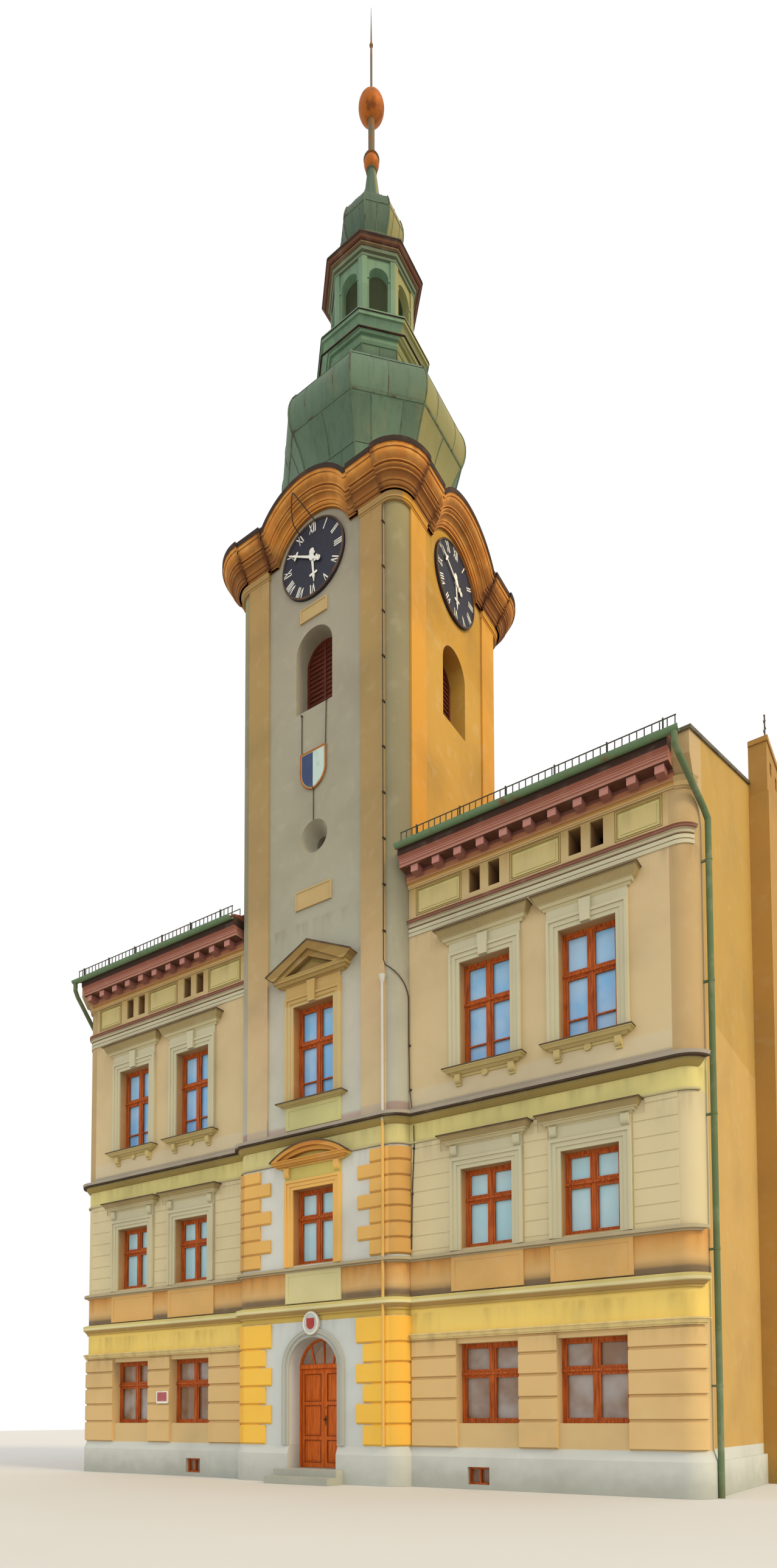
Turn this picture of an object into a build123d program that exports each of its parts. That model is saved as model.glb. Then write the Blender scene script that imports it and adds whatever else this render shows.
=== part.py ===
from build123d import *
import math
import os

os.makedirs("parts", exist_ok=True)

# All sizes are in millimetres. X runs along the street front, Y into the building and Z up.
# The front plane of the two wings is Y = 0 while the parts are made; place() moves them
# so that the origin is in the middle of the footprint, on the ground.

# Body of the building
half_width = 8600
depth = 11200
front_wall = 600
side_wall = 500
rear_wall = 500
corner_radius = 380
axis_inner = 4285
axis_outer = 6525
far = 60000
plinth_proud = 80
plinth_height = 650
plinth_slope = 200

# Roof
roof_at_front = 14053
roof_rise = 0.384
roof_thick = 150
eaves_proud = 460
coping_thick = 70
coping_over = 40
shoulder_proud = 190

# Tower shaft
tower_half = 2422
tower_proud = 329
tower_wall = 700
tower_radius = 400
pilaster_in = 1378
pilaster_out = 2010
pilaster_proud = 50
pilaster_foot = 8150
cornice_foot = 22200
cornice_top = cornice_foot + 750

# Storeys
floor_thick = 260
ground_floor = 315
first_floor = 4150
second_floor = 7900
attic_floor = 12000
belfry_floor = 17600

# Doorway
door_half = 700
door_spring = 2600
door_depth = 370
jamb_top = 2600
arch_block_top = 4000
step_rise = 158
step_going = 320
step_over = 250
surround_width = 200
surround_proud = 60
frame_width = 50
frame_depth = 90
leaf_thick = 50
leaf_gap = 5
meeting_gap = 10
transom_height = 110
knuckle_radius = 12
knuckle_height = 60
knuckle_low = 600
knuckle_high = 1900
hinge_back = 17
passage_half = 700
passage_top = 2700

# Windows
wing_half = 590
ground_half = 710
ground_sill = 1344
ground_head = 3000
sill_course_low = first_floor + 670
sill_course_high = sill_course_low + 130
first_sill = sill_course_high + 50
string_low = second_floor - 500
first_head = string_low - 740
second_sill = second_floor + 920
attic_band_low = attic_floor + 30
second_head = attic_band_low - 940
tower_window_half = 590
tower_first_head = first_head + 95
tower_second_head = second_head + 10
architrave = 240
architrave_steps = ((0.00, 40), (0.36, 60), (0.75, 85))
frieze_proud = 45
window_recess = 200
window_frame = 60
window_depth = 75
mullion = 74
rail = 90
sash = 45
sash_back = 14
glazing_bar = 28
drip_proud = 28
glass_thick = 12
attic_low = attic_floor + 547
attic_high = attic_low + 528
attic_in = 96
attic_out = 361
sill_half = 925
sill_thick = 150
tower_sill_thick = 100
sill_proud = 220
hood_half = 1090
hood_low = attic_band_low - 490
hood_high = hood_low + 310
first_hood_half = 1050
first_hood_low = string_low - 250
hood_proud = 260
keystone_half = 120
keystone_proud = 120
console_in = 650
console_out = 800
apron_half = 830
apron_proud = 35
apron_rim = 90
apron_sunk = 10
cellar_axis = 4090
cellar_half = 250
cellar_low = 96
cellar_high = 452
cellar_depth = 110

# Belfry, clocks, plaques
belfry_half = 540
belfry_sill = 18220
belfry_spring = belfry_sill + 1420
shutter_recess = 420
shutter_thick = 60
shutter_frame = 70
shutter_sunk = 22
oculus_height = 15070
oculus_outer = 395
oculus_inner = 170
clock_height = cornice_foot - 363
dial_radius = 923
dial_thick = 60
dial_rim = 40
dial_rim_proud = 15
hand_thick = 10
arbor_collar = 55
arbor_radius = 25
hour_hub_bore = 32
hand_gap = 12
minute_length = 820
hour_length = 560

# Helm: half the width across flats at each height
lantern_half = 1000
neck_top = cornice_top + 5460
lantern_foot = neck_top + 540
lantern_head = lantern_foot + 1900
lantern_wall = 190
lantern_opening = 250
lantern_spring = lantern_foot + 1430
lantern_strip = 35
lantern_strip_in = 300

# Side stacks
stack_front = 4760
stack_depth = 1500
stack_proud = 430
stack_top = 16900
stack_set_off = 15600
stack_inset = 30
stack_cap = 120


def mid_y():
    """The middle of the footprint, from the front step to the rear gutter."""
    front_most = -tower_proud - plinth_proud - step_over - step_going
    rear_most = depth + eaves_proud + gutter_size * 2
    return (front_most + rear_most) / 2


gutter_size = 85
tower_mid = tower_half - tower_proud


def place(name, solids):
    """Writes one sub-part, moved to the common origin."""
    parts = list(solids) if isinstance(solids, (list, tuple)) else [solids]
    flat = []
    for part in parts:
        flat += part.solids()
    flat = [Pos(0, -mid_y(), 0) * one for one in flat]
    whole = flat[0] if len(flat) == 1 else Compound(children=flat)
    export_step(whole, f"parts/{name}.step")


def block(x, y, z):
    """A box between two values on each axis."""
    size = [b - a for a, b in (x, y, z)]
    middle = [(a + b) / 2 for a, b in (x, y, z)]
    return Pos(*middle) * Box(*size)


def both(solids):
    """The solids and their mirror images on the other wing."""
    return list(solids) + [mirror(one, about=Plane.YZ) for one in solids]


def along_x(points, x0, x1):
    """A section in Y and Z, extruded along X."""
    face = Plane.YZ * make_face(Polyline(*points, close=True))
    return Pos(x0, 0, 0) * extrude(face, amount=x1 - x0, dir=(1, 0, 0))


def along_y(face, y0, y1):
    """A face drawn in X and Z, extruded along Y."""
    return Pos(0, y0, 0) * extrude(Plane.XZ * face, amount=y1 - y0, dir=(0, 1, 0))


def arch_face(half, low, spring):
    """A round-headed opening in X and Z."""
    outline = Polyline((half, spring), (half, low), (-half, low), (-half, spring))
    outline += ThreePointArc((-half, spring), (0, spring + half), (half, spring))
    return make_face(outline)


def roof_top(y):
    """Height of the roof's surface at a distance behind the front."""
    run = min(y, depth - y)
    return roof_at_front + roof_rise * run


def roof_under(y):
    return roof_top(y) - roof_thick


def wing_plan(grow=0):
    """The footprint of the house with its rounded corners, grown outwards."""
    width = 2 * (half_width + grow)
    length = depth + 2 * grow
    return Pos(0, depth / 2) * RectangleRounded(width, length, corner_radius + grow)


def tower_plan(grow=0):
    """The footprint of the tower with its rounded corners, grown outwards."""
    width = 2 * (tower_half + grow)
    return Pos(0, tower_mid) * RectangleRounded(width, width, tower_radius + grow)


def standing(plan, low, high):
    return Pos(0, 0, low) * extrude(plan, amount=high - low)


def joined(solids):
    whole = solids[0]
    for one in solids[1:]:
        whole += one
    return whole


def moulded(plan, stages):
    """A body whose plan grows and shrinks with height; a stage is a height and how far it stands proud."""
    layers = []
    for (low, grow_low), (high, grow_high) in zip(stages, stages[1:]):
        if high > low and grow_low == grow_high:
            layers.append(standing(plan(grow_low), low, high))
        elif high > low:
            ends = [Pos(0, 0, low) * plan(grow_low), Pos(0, 0, high) * plan(grow_high)]
            layers.append(loft(ends, ruled=True))
    return joined(layers)


def moulded_ring(plan, stages):
    """The part of a moulded body that stands outside the plan itself."""
    return moulded(plan, stages) - standing(plan(), stages[0][0] - 1, stages[-1][0] + 1)


def rising(foot, steps):
    """Stages given as rises above a foot, instead of heights."""
    return [(foot + rise, proud) for rise, proud in steps]


def shelf(axis, half, wall_y):
    """The plan of a shelf on a wall, which grows forwards and to both sides alike."""
    return lambda grow: Pos(axis, wall_y - grow / 2) * Rectangle(2 * (half + grow), grow)


def console(x0, x1, wall_y, top, height, reach):
    """A bracket with a curved front, under a shelf."""
    start, end = (wall_y - reach, top - height * 0.25), (wall_y - reach * 0.35, top - height * 0.85)
    outline = Polyline((wall_y, top), (wall_y - reach, top), start)
    outline += ThreePointArc(start, (wall_y - reach * 0.85, top - height * 0.62), end)
    outline += Polyline(end, (wall_y - reach * 0.35, top - height), (wall_y, top - height), (wall_y, top))
    return Pos(x0, 0, 0) * extrude(Plane.YZ * make_face(outline), amount=x1 - x0, dir=(1, 0, 0))


def rect(x0, x1, z0, z1):
    return Pos((x0 + x1) / 2, (z0 + z1) / 2) * Rectangle(x1 - x0, z1 - z0)


def bow(half, low, apex):
    """A face in X and Z between a level chord and an arc over it."""
    arc = ThreePointArc((-half, low), (0, apex), (half, low))
    return make_face(Polyline((half, low), (-half, low)) + arc)


def turned(solid):
    """The solid on the opposite side of the house."""
    return Pos(0, depth, 0) * Rot(0, 0, 180) * solid


def plinth(plan):
    """The projecting base under a wall, with a sloped top."""
    base = standing(plan(plinth_proud), 0, plinth_height)
    top = loft([Pos(0, 0, plinth_height) * plan(plinth_proud),
                Pos(0, 0, plinth_height + plinth_slope) * plan(5)])
    return base + top


def around_tower(solid):
    """The solid on all four faces of the tower."""
    return [Pos(0, tower_mid, 0) * Rot(0, 0, 90 * k) * Pos(0, -tower_mid, 0) * solid for k in range(4)]


# Walls of the house

windows_on_wing = [(axis_inner, ground_half, ground_sill, ground_head),
                   (axis_outer, ground_half, ground_sill, ground_head),
                   (axis_inner, wing_half, first_sill, first_head),
                   (axis_outer, wing_half, first_sill, first_head),
                   (axis_inner, wing_half, second_sill, second_head),
                   (axis_outer, wing_half, second_sill, second_head)]
wing_axes = (axis_inner, axis_outer)


def window_holes(y0, y1):
    return [block((x - h, x + h), (y0, y1), (low, high)) for x, h, low, high in windows_on_wing]


def tower_foot():
    """The tower's projecting base, which stands only in front of the wings."""
    zone = block((-half_width, half_width), (-depth, 0), (0, plinth_height + plinth_slope))
    return plinth(tower_plan) & zone


attic_panels = ((2664, 3689), (4937, 5950), (7170, 7980))
panel_low = attic_band_low + 500
panel_high = panel_low + 500
panel_deep = 25
panel_field = 12
panel_rim = 60
cornice_end = 8270
shoulder_low = roof_at_front - 783
shoulder_corbel = 280


def gable_end(wall):
    """The head of the gable wall over a wall's thickness, with its shoulder beside the eaves cornice."""
    section = [(0, roof_under(0)), (wall, roof_under(wall)), (wall, roof_top(wall)), (0, roof_top(0))]
    head = along_x(section, half_width - side_wall, half_width)
    head &= standing(wing_plan(), 0, far)
    y0, y1 = -shoulder_proud, corner_radius
    section = [(y0, shoulder_low + shoulder_corbel), (0, shoulder_low), (y1, shoulder_low),
               (y1, roof_top(y1)), (y0, roof_top(y0))]
    return head + along_x(section, cornice_end, half_width)


def front_walls():
    house = standing(wing_plan(), 0, roof_under(front_wall)) + plinth(wing_plan)
    over = plinth_proud * 2
    section = [(-over, 0), (front_wall, 0), (front_wall, roof_under(front_wall)), (-over, roof_under(-over))]
    wall = house & along_x(section, tower_half, half_width + over)
    for hole in window_holes(-over, front_wall + over):
        wall -= hole
    wall -= tower_foot()
    for axis in wing_axes:
        for x0, x1 in ((axis - attic_out, axis - attic_in), (axis + attic_in, axis + attic_out)):
            wall -= block((x0, x1), (-over, front_wall + over), (attic_low, attic_high))
    for x0, x1 in attic_panels:
        wall -= block((x0, x1), (-over, panel_deep), (panel_low, panel_high))
        wall += block((x0 + panel_rim, x1 - panel_rim), (panel_field, panel_deep),
                      (panel_low + panel_rim, panel_high - panel_rim))
    wall -= block((cellar_axis - cellar_half, cellar_axis + cellar_half), (-over, cellar_depth),
                  (cellar_low, cellar_high))
    place("front_walls", both([wall + gable_end(front_wall)]))


def side_walls():
    y0, y1 = front_wall, depth - rear_wall
    section = [(y0, 0), (y1, 0), (y1, roof_top(y1)), (depth / 2, roof_top(depth / 2)), (y0, roof_top(y0))]
    wall = along_x(section, half_width - side_wall, half_width)
    foot = standing(wing_plan(plinth_proud), 0, plinth_height)
    along = (half_width - side_wall, half_width + 2 * plinth_proud)
    wall += foot & block(along, (y0, y1), (0, plinth_height))
    wall -= stack_block()
    place("side_walls", both([wall]))


def rear_wall_part():
    over = plinth_proud * 2
    y0 = depth - rear_wall
    house = standing(wing_plan(), 0, roof_under(y0)) + plinth(wing_plan)
    section = [(y0, 0), (depth + over, 0), (depth + over, roof_under(depth + over)), (y0, roof_under(y0))]
    wall = house & along_x(section, -half_width - over, half_width + over)
    for hole in both(window_holes(y0 - over, depth + over)):
        wall -= hole
    for low, high in ((first_sill, first_head), (second_sill, second_head), (ground_sill, ground_head)):
        wall -= block((-wing_half, wing_half), (y0 - over, depth + over), (low, high))
    for end in both([gable_end(rear_wall)]):
        wall += turned(end)
    place("rear_wall", wall)


# Walls of the tower

tower_front = -tower_proud
tower_front_in = tower_front + tower_wall
tower_rear = 2 * tower_half - tower_proud
tower_rear_in = tower_rear - tower_wall
tower_inner = tower_half - tower_wall


def tower_zone(y0, y1, low, high):
    return standing(tower_plan(), low, high) & block((-2 * tower_half, 2 * tower_half), (y0, y1), (low, high))


def tower_base_piers():
    shaft = standing(tower_plan(), 0, jamb_top) + tower_foot()
    reach = tower_half + 2 * plinth_proud
    front = shaft & block((door_half, reach), (tower_front - reach, tower_front_in), (0, jamb_top))
    rear = tower_zone(tower_rear_in, tower_rear + 1, 0, passage_top)
    rear &= block((passage_half, reach), (0, depth), (0, passage_top))
    place("tower_base_piers", both([front, rear]))


def doorway_arch():
    wall = tower_zone(tower_front - 1, tower_front_in, jamb_top, arch_block_top)
    wall -= along_y(arch_face(door_half, jamb_top - 10, door_spring), tower_front - 10, tower_front_in + 10)
    place("doorway_arch", wall)


def tower_front_wall():
    wall = tower_zone(tower_front - 1, tower_front_in, arch_block_top, cornice_top)
    y0, y1 = tower_front - 10, tower_front_in + 10
    for low, high in ((first_sill, tower_first_head), (second_sill, tower_second_head)):
        wall -= block((-tower_window_half, tower_window_half), (y0, y1), (low, high))
    wall -= along_y(arch_face(belfry_half, belfry_sill, belfry_spring), y0, y1)
    cone = Cone(oculus_inner, oculus_outer, tower_wall / 2)
    wall -= Pos(0, tower_front + tower_wall / 4, oculus_height) * Rot(90, 0, 0) * cone
    wall -= Pos(0, (y0 + y1) / 2, oculus_height) * Rot(90, 0, 0) * Cylinder(oculus_inner, y1 - y0)
    place("tower_front_wall", wall)


def tower_side_walls():
    wall = block((tower_inner, tower_half), (tower_front_in, tower_rear_in), (0, cornice_top))
    face = arch_face(belfry_half, belfry_sill, belfry_spring)
    hole = Pos(0, tower_mid, 0) * Rot(0, 0, 90) * along_y(face, -2 * tower_half, 2 * tower_half)
    place("tower_side_walls", both([wall - hole]))


def tower_rear_wall():
    wall = tower_zone(tower_rear_in, tower_rear + 1, passage_top, cornice_top)
    wall -= along_y(arch_face(belfry_half, belfry_sill, belfry_spring), tower_rear_in - 10, tower_rear + 10)
    place("tower_rear_wall", wall)


# Floors

storeys = (ground_floor, first_floor, second_floor, attic_floor)


def floors():
    inner_y = (front_wall, depth - rear_wall)
    inner_x = half_width - side_wall
    wings = [block((tower_half, inner_x), inner_y, (top - floor_thick, top)) for top in storeys]
    place("wing_floors", both(wings))
    middle = []
    for top in storeys:
        middle.append(block((-tower_half, tower_half), (tower_rear, inner_y[1]), (top - floor_thick, top)))
    for top in storeys + (belfry_floor,):
        height = (top - floor_thick, top)
        middle.append(block((-tower_inner, tower_inner), (tower_front_in, tower_rear_in), height))
    place("middle_floors", middle)


# Roof and eaves


def roof_slab(y0, y1, x0, x1):
    section = [(y0, roof_under(y0)), (y1, roof_under(y1)), (y1, roof_top(y1)), (y0, roof_top(y0))]
    return along_x(section, x0, x1)


def roofs():
    inner_x = half_width - side_wall
    front = roof_slab(-eaves_proud, depth / 2, tower_half, inner_x)
    front += roof_slab(-eaves_proud, 0, inner_x, cornice_end)
    front -= gable_end(front_wall)
    place("roof_front", both([front]))
    rear = roof_slab(depth / 2, depth + eaves_proud, -inner_x, inner_x)
    rear += roof_slab(depth, depth + eaves_proud, -cornice_end, cornice_end)
    rear += roof_slab(tower_rear, depth / 2, -tower_half, tower_half)
    place("roof_rear", rear)


def gable_copings():
    y0, y1 = -shoulder_proud - coping_over, depth + shoulder_proud + coping_over
    section = [(y0, roof_top(y0)), (depth / 2, roof_top(depth / 2)), (y1, roof_top(y1)),
               (y1, roof_top(y1) + coping_thick), (depth / 2, roof_top(depth / 2) + coping_thick),
               (y0, roof_top(y0) + coping_thick)]
    coping = along_x(section, half_width - side_wall, half_width + coping_over) - stack_block()
    place("gable_copings", both([coping]))


modillion_width = 170
modillion_count = 11
modillion_reach = 230
fascia_foot = roof_at_front - 639
modillion_foot = fascia_foot - 144
fascia_proud = 378
fascia_height = 66
bed_foot = fascia_foot - 314
bed_proud = 100


def eaves_profile():
    """Section of the eaves cornice in Y and Z, with its wall moulding and its cyma."""
    low = Polyline((0, bed_foot), (-30, bed_foot), (-30, bed_foot + 30), (-45, bed_foot + 30))
    low += ThreePointArc((-45, bed_foot + 30), (-52, bed_foot + 75), (-85, bed_foot + 100))
    low += Polyline((-85, bed_foot + 100), (-bed_proud, bed_foot + 100), (-bed_proud, fascia_foot),
                    (-fascia_proud, fascia_foot), (-fascia_proud, fascia_foot + fascia_height),
                    (-fascia_proud - 14, fascia_foot + fascia_height))
    start, end = (-fascia_proud - 14, fascia_foot + fascia_height), (-eaves_proud, fascia_foot + 240)
    cyma = ThreePointArc(start, (-fascia_proud - 26, fascia_foot + 170), end)
    top = Polyline(end, (-eaves_proud, roof_under(-eaves_proud)), (0, roof_under(0)), (0, bed_foot))
    return make_face(low + cyma + top)


def modillion(x):
    """A block with a rounded foot under the cornice's soffit."""
    back, reach = -bed_proud, -bed_proud - modillion_reach
    start, end = (reach, fascia_foot - 60), (back - 70, modillion_foot)
    outline = Polyline((back, fascia_foot), (reach, fascia_foot), start)
    outline += ThreePointArc(start, (reach + 40, modillion_foot + 30), end)
    outline += Polyline(end, (back, modillion_foot), (back, fascia_foot))
    face = Plane.YZ * make_face(outline)
    return Pos(x - modillion_width / 2, 0, 0) * extrude(face, amount=modillion_width, dir=(1, 0, 0))


def eaves_cornices():
    along = Plane.YZ * eaves_profile()
    run = Pos(tower_half, 0, 0) * extrude(along, amount=cornice_end - tower_half, dir=(1, 0, 0))
    first = tower_half + 350
    last = cornice_end - 180
    for k in range(modillion_count):
        x = first + (last - first) * k / (modillion_count - 1)
        run += modillion(x)
    rear = turned(Pos(-cornice_end, 0, 0) * extrude(along, amount=2 * cornice_end, dir=(1, 0, 0)))
    place("eaves_cornices", both([run]) + [rear])


gutter_end = 8513
gutter_wall = 10
gutter_centre = roof_at_front - 213


def gutter_run(x0, x1):
    ring = Circle(gutter_size) - Circle(gutter_size - gutter_wall)
    half = ring & Pos(0, -gutter_size) * Rectangle(4 * gutter_size, 2 * gutter_size)
    face = Plane.YZ * Pos(-eaves_proud - gutter_size, gutter_centre) * half
    return Pos(x0, 0, 0) * extrude(face, amount=x1 - x0, dir=(1, 0, 0))


def gutters():
    front = gutter_run(tower_half, gutter_end)
    rear = turned(gutter_run(-gutter_end, gutter_end))
    place("gutters", both([front]) + [rear])


guard_height = 220
guard_back = 300
guard_bar = 16
guard_pitch = 300


def snow_guards():
    """A low fence on the roof, just above the gutter."""
    y = -eaves_proud + guard_back
    z = roof_top(y)
    x0, x1 = tower_half + 60, half_width - side_wall - 40
    top = z + guard_height
    fence = block((x0, x1), (y - guard_bar / 2, y + guard_bar / 2), (top - guard_bar, top))
    count = round((x1 - x0) / guard_pitch)
    for k in range(count + 1):
        x = x0 + guard_bar / 2 + (x1 - x0 - guard_bar) * k / count
        fence += block((x - guard_bar / 2, x + guard_bar / 2), (y - guard_bar / 2, y + guard_bar / 2),
                       (roof_top(y + guard_bar / 2), z + guard_height))
    place("snow_guards", both([fence]))


pipe_radius = 58
thin_pipe_radius = 32
pipe_y = 470
pipe_clips = (2000, 4500, 7000, 9500, 11800)
clip_width = 40
clip_proud = 7
thin_pipe_top = 11000


def mitred_tube(points, radius):
    path = Polyline(*points)
    start = Plane(origin=path @ 0, z_dir=path % 0)
    return sweep(start * Circle(radius), path=path, transition=Transition.RIGHT)


def gutter_bore():
    """The round body of the front gutter, which a pipe under it stops short of."""
    bar = Cylinder(gutter_size, 2 * gutter_end)
    return Pos(0, -eaves_proud - gutter_size, gutter_centre) * Rot(0, 90, 0) * bar


def thin_pipe(radius):
    """The thin pipe that runs down the tower's front, beside the right pilaster's edge."""
    y = tower_front - pilaster_proud - thin_pipe_radius
    low = plinth_height + plinth_slope
    tube = Cylinder(radius, thin_pipe_top - low, align=(Align.CENTER, Align.CENTER, Align.MIN))
    return Pos(pilaster_out - thin_pipe_radius, y, low) * tube


def downpipes():
    """A pipe from each end of the front gutter, and the thin one on the tower."""
    x = half_width + plinth_proud + pipe_radius
    y_gutter = -eaves_proud - gutter_size
    z_gutter = gutter_centre - gutter_size
    points = [(gutter_end - 80, y_gutter, z_gutter + 20), (gutter_end - 80, y_gutter, z_gutter - 190),
              (gutter_end - 40, y_gutter + 110, z_gutter - 330), (x - 40, pipe_y - 110, z_gutter - 1000),
              (x, pipe_y, z_gutter - 1160), (x, pipe_y, 0)]
    end_pipe = mitred_tube(points, pipe_radius) - gutter_bore()
    for z in pipe_clips:
        across = (pipe_y - clip_width / 2, pipe_y + clip_width / 2)
        end_pipe += block((half_width, x - pipe_radius / 2), across, (z, z + clip_width))
        end_pipe += Pos(x, pipe_y, z + clip_width / 2) * Cylinder(pipe_radius + clip_proud, clip_width)
    place("downpipes", both([end_pipe]) + [thin_pipe(thin_pipe_radius)])


# String courses: height range and how far each band stands proud

string_end = 180
ground_steps = [(0, 40), (50, 40), (50, 60), (130, 130), (130, 150), (240, 150), (280, 20)]
ground_cornice = rising(first_floor - 350, ground_steps)
ground_cornice_top = ground_cornice[-1][0]
sill_course = rising(sill_course_low, [(0, 40), (30, 60), (40, 130), (100, 130), (130, 20)])
astragal = rising(string_low, [(0, 30), (20, 45), (40, 45), (60, 30)])
main_steps = [(0, 30), (50, 70), (110, 110), (140, 110), (140, 190), (240, 210), (300, 60)]
main_string = rising(string_low + 450, main_steps)
strings = (ground_cornice, sill_course, astragal, main_string)
attic_stripe = [(0, 20), (75, 20)]
attic_strings = [rising(attic_band_low, attic_stripe), rising(attic_band_low + 95, attic_stripe),
                 rising(attic_band_low + 190, [(0, 20), (80, 20), (80, 30), (110, 70), (180, 80), (210, 40)])]
capital_low = shoulder_low - 190
corner_capital = rising(capital_low, [(0, 15), (30, 30), (30, 50), (80, 60), (110, 60), (190, 110)])


def band(plan, low, high, proud):
    return standing(plan(proud), low, high) - standing(plan(), low - 1, high + 1)


def string_courses():
    wings = []
    for stages in strings:
        wings.append(moulded_ring(wing_plan, stages) - moulded(tower_plan, stages))
    for stages in attic_strings:
        inside = standing(tower_plan(), stages[0][0] - 1, stages[-1][0] + 1)
        wings.append(moulded_ring(wing_plan, stages) - inside)
    beside_tower = block((tower_half, far), (-far, string_end), (0, far))
    at_corner = block((cornice_end, far), (-far, string_end), (0, far))
    capital = moulded_ring(wing_plan, corner_capital) & at_corner
    place("wing_string_courses", both([one & beside_tower for one in wings] + [capital]))
    before_wings = block((-far, far), (-far, 0), (0, far))
    whole = joined([moulded_ring(tower_plan, stages) & before_wings for stages in strings])
    whole -= bow_outline()
    whole -= thin_pipe(thin_pipe_radius)
    place("tower_string_courses", whole.solids())


# Window surrounds, hoods and sills


def frame_around(axis, half, low, high, width, wall_y, proud):
    """A raised border on both sides and over an opening, without a foot."""
    outer = block((axis - half - width, axis + half + width), (wall_y - proud, wall_y), (low, high + width))
    return outer - block((axis - half, axis + half), (wall_y - proud - 1, wall_y + 1), (low - 1, high))


def stepped_frame(axis, half, low, high, width, wall_y):
    """An architrave of steps, each further out and further proud."""
    made = []
    for share, proud in architrave_steps:
        inner = width * share
        made.append(frame_around(axis, half + inner, low, high + inner, width - inner, wall_y, proud))
    return joined(made)


def frieze(axis, half, low, high, wall_y):
    return block((axis - half, axis + half), (wall_y - frieze_proud, wall_y), (low, high))


def keystone(axis, low, high, wall_y):
    """A block that widens upwards."""
    foot = keystone_half * 0.8
    points = [(-foot, low), (foot, low), (keystone_half, high), (-keystone_half, high)]
    face = make_face(Polyline(*points, close=True))
    return Pos(axis, 0, 0) * along_y(face, wall_y - keystone_proud, wall_y)


def console_pair(axis, wall_y, top, height):
    pair = [console(axis + console_in, axis + console_out, wall_y, top, height, keystone_proud),
            console(axis - console_out, axis - console_in, wall_y, top, height, keystone_proud)]
    return joined(pair)


def wing_window_surrounds():
    made = []
    half = wing_half + architrave
    for axis in wing_axes:
        top = first_head + architrave
        first = stepped_frame(axis, wing_half, sill_course_high, first_head, architrave, 0)
        first += frieze(axis, half, top, first_hood_low, 0)
        made.append(first + console_pair(axis, 0, first_hood_low, first_hood_low - top))
        second = stepped_frame(axis, wing_half, second_sill, second_head, architrave, 0)
        second += frieze(axis, half, second_head + architrave, hood_low, 0)
        made.append(second + keystone(axis, second_head, hood_low, 0))
    place("wing_window_surrounds", both(made))


def hood(axis, half, low, high, wall_y):
    """A moulded shelf over a window: bed, sloped face, lip and weathered top."""
    tall = high - low
    steps = [(0, 50), (0.16, 80), (0.16, 105), (0.36, 140), (0.36, 165), (0.86, 235), (0.86, hood_proud),
             (0.95, hood_proud), (1, 90)]
    stages = [(low + tall * rise, proud) for rise, proud in steps]
    return moulded(shelf(axis, half - hood_proud, wall_y), stages)


def window_hoods():
    made = []
    for axis in wing_axes:
        made.append(hood(axis, first_hood_half, first_hood_low, string_low, 0))
        made.append(hood(axis, hood_half, hood_low, hood_high, 0))
    place("window_hoods", both(made))


bracket_in = 555
bracket_out = 685
bracket_drop = 230
bracket_reach = 110
strip_drop = 55
strip_proud = 26
boss_radius = 75


def sill(axis, half, thick, wall_y):
    steps = [(0, 60), (0.3, 110), (0.3, 150), (0.65, 200), (0.65, sill_proud), (0.9, sill_proud), (1, 150)]
    stages = [(second_sill - thick + thick * rise, proud) for rise, proud in steps]
    return moulded(shelf(axis, half - sill_proud, wall_y), stages)


def sill_brackets(axis):
    """The strip under a sill, with a bracket at each end and a round boss in the middle."""
    top = second_sill - sill_thick
    made = [block((axis - bracket_out, axis + bracket_out), (-strip_proud, 0), (top - strip_drop, top))]
    for x0, x1 in ((axis - bracket_out, axis - bracket_in), (axis + bracket_in, axis + bracket_out)):
        made.append(console(x0, x1, 0, top, bracket_drop, bracket_reach))
    boss = Cylinder(boss_radius, 2 * strip_proud)
    made.append(Pos(axis, -strip_proud, top - strip_drop) * Rot(90, 0, 0) * boss)
    return joined(made)


def window_sills():
    made = [sill(axis, sill_half, sill_thick, 0) + sill_brackets(axis) for axis in wing_axes]
    place("window_sills", both(made) + [sill(0, tower_sill_half, tower_sill_thick, tower_front)])


tower_architrave = 216
tower_sill_half = 968
bow_low = string_low - 130
bow_tip = string_low
bow_apex = string_low + 360
bow_half = 1100
gable_low = hood_low + 60
gable_shelf = 160
gable_tip = gable_low + 300
gable_apex = gable_low + 864
gable_half = 1246
gable_return = 1050


def bow_outline():
    """The whole body of the curved head over the tower's lower window."""
    outline = Polyline((bow_half, bow_tip), (bow_half, bow_low), (-bow_half, bow_low), (-bow_half, bow_tip))
    outline += ThreePointArc((-bow_half, bow_tip), (0, bow_apex), (bow_half, bow_tip))
    return along_y(make_face(outline), tower_front - hood_proud, tower_front)


def round_pediment():
    """A level shelf, and over it a bow in three steps: rim, inner band and sunk field."""
    foot = bow_tip - bow_low
    steps = [(0, 80), (0.25, 120), (0.25, 160), (0.55, 190), (0.55, 225), (1, 240)]
    stages = [(bow_low + foot * rise, proud) for rise, proud in steps]
    body = moulded(shelf(0, bow_half - hood_proud, tower_front), stages)
    over = along_y(bow(bow_half, bow_tip, bow_apex), tower_front - hood_proud, tower_front)
    outside = tower_front - hood_proud - 1
    over -= along_y(bow(bow_half - 190, bow_tip + 25, bow_apex - 95), outside, tower_front - 190)
    over -= along_y(bow(bow_half - 420, bow_tip + 50, bow_apex - 190), outside, tower_front - 60)
    return body + over


def triangle(half, low, apex):
    return make_face(Polyline((half, low), (0, apex), (-half, low), close=True))


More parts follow.
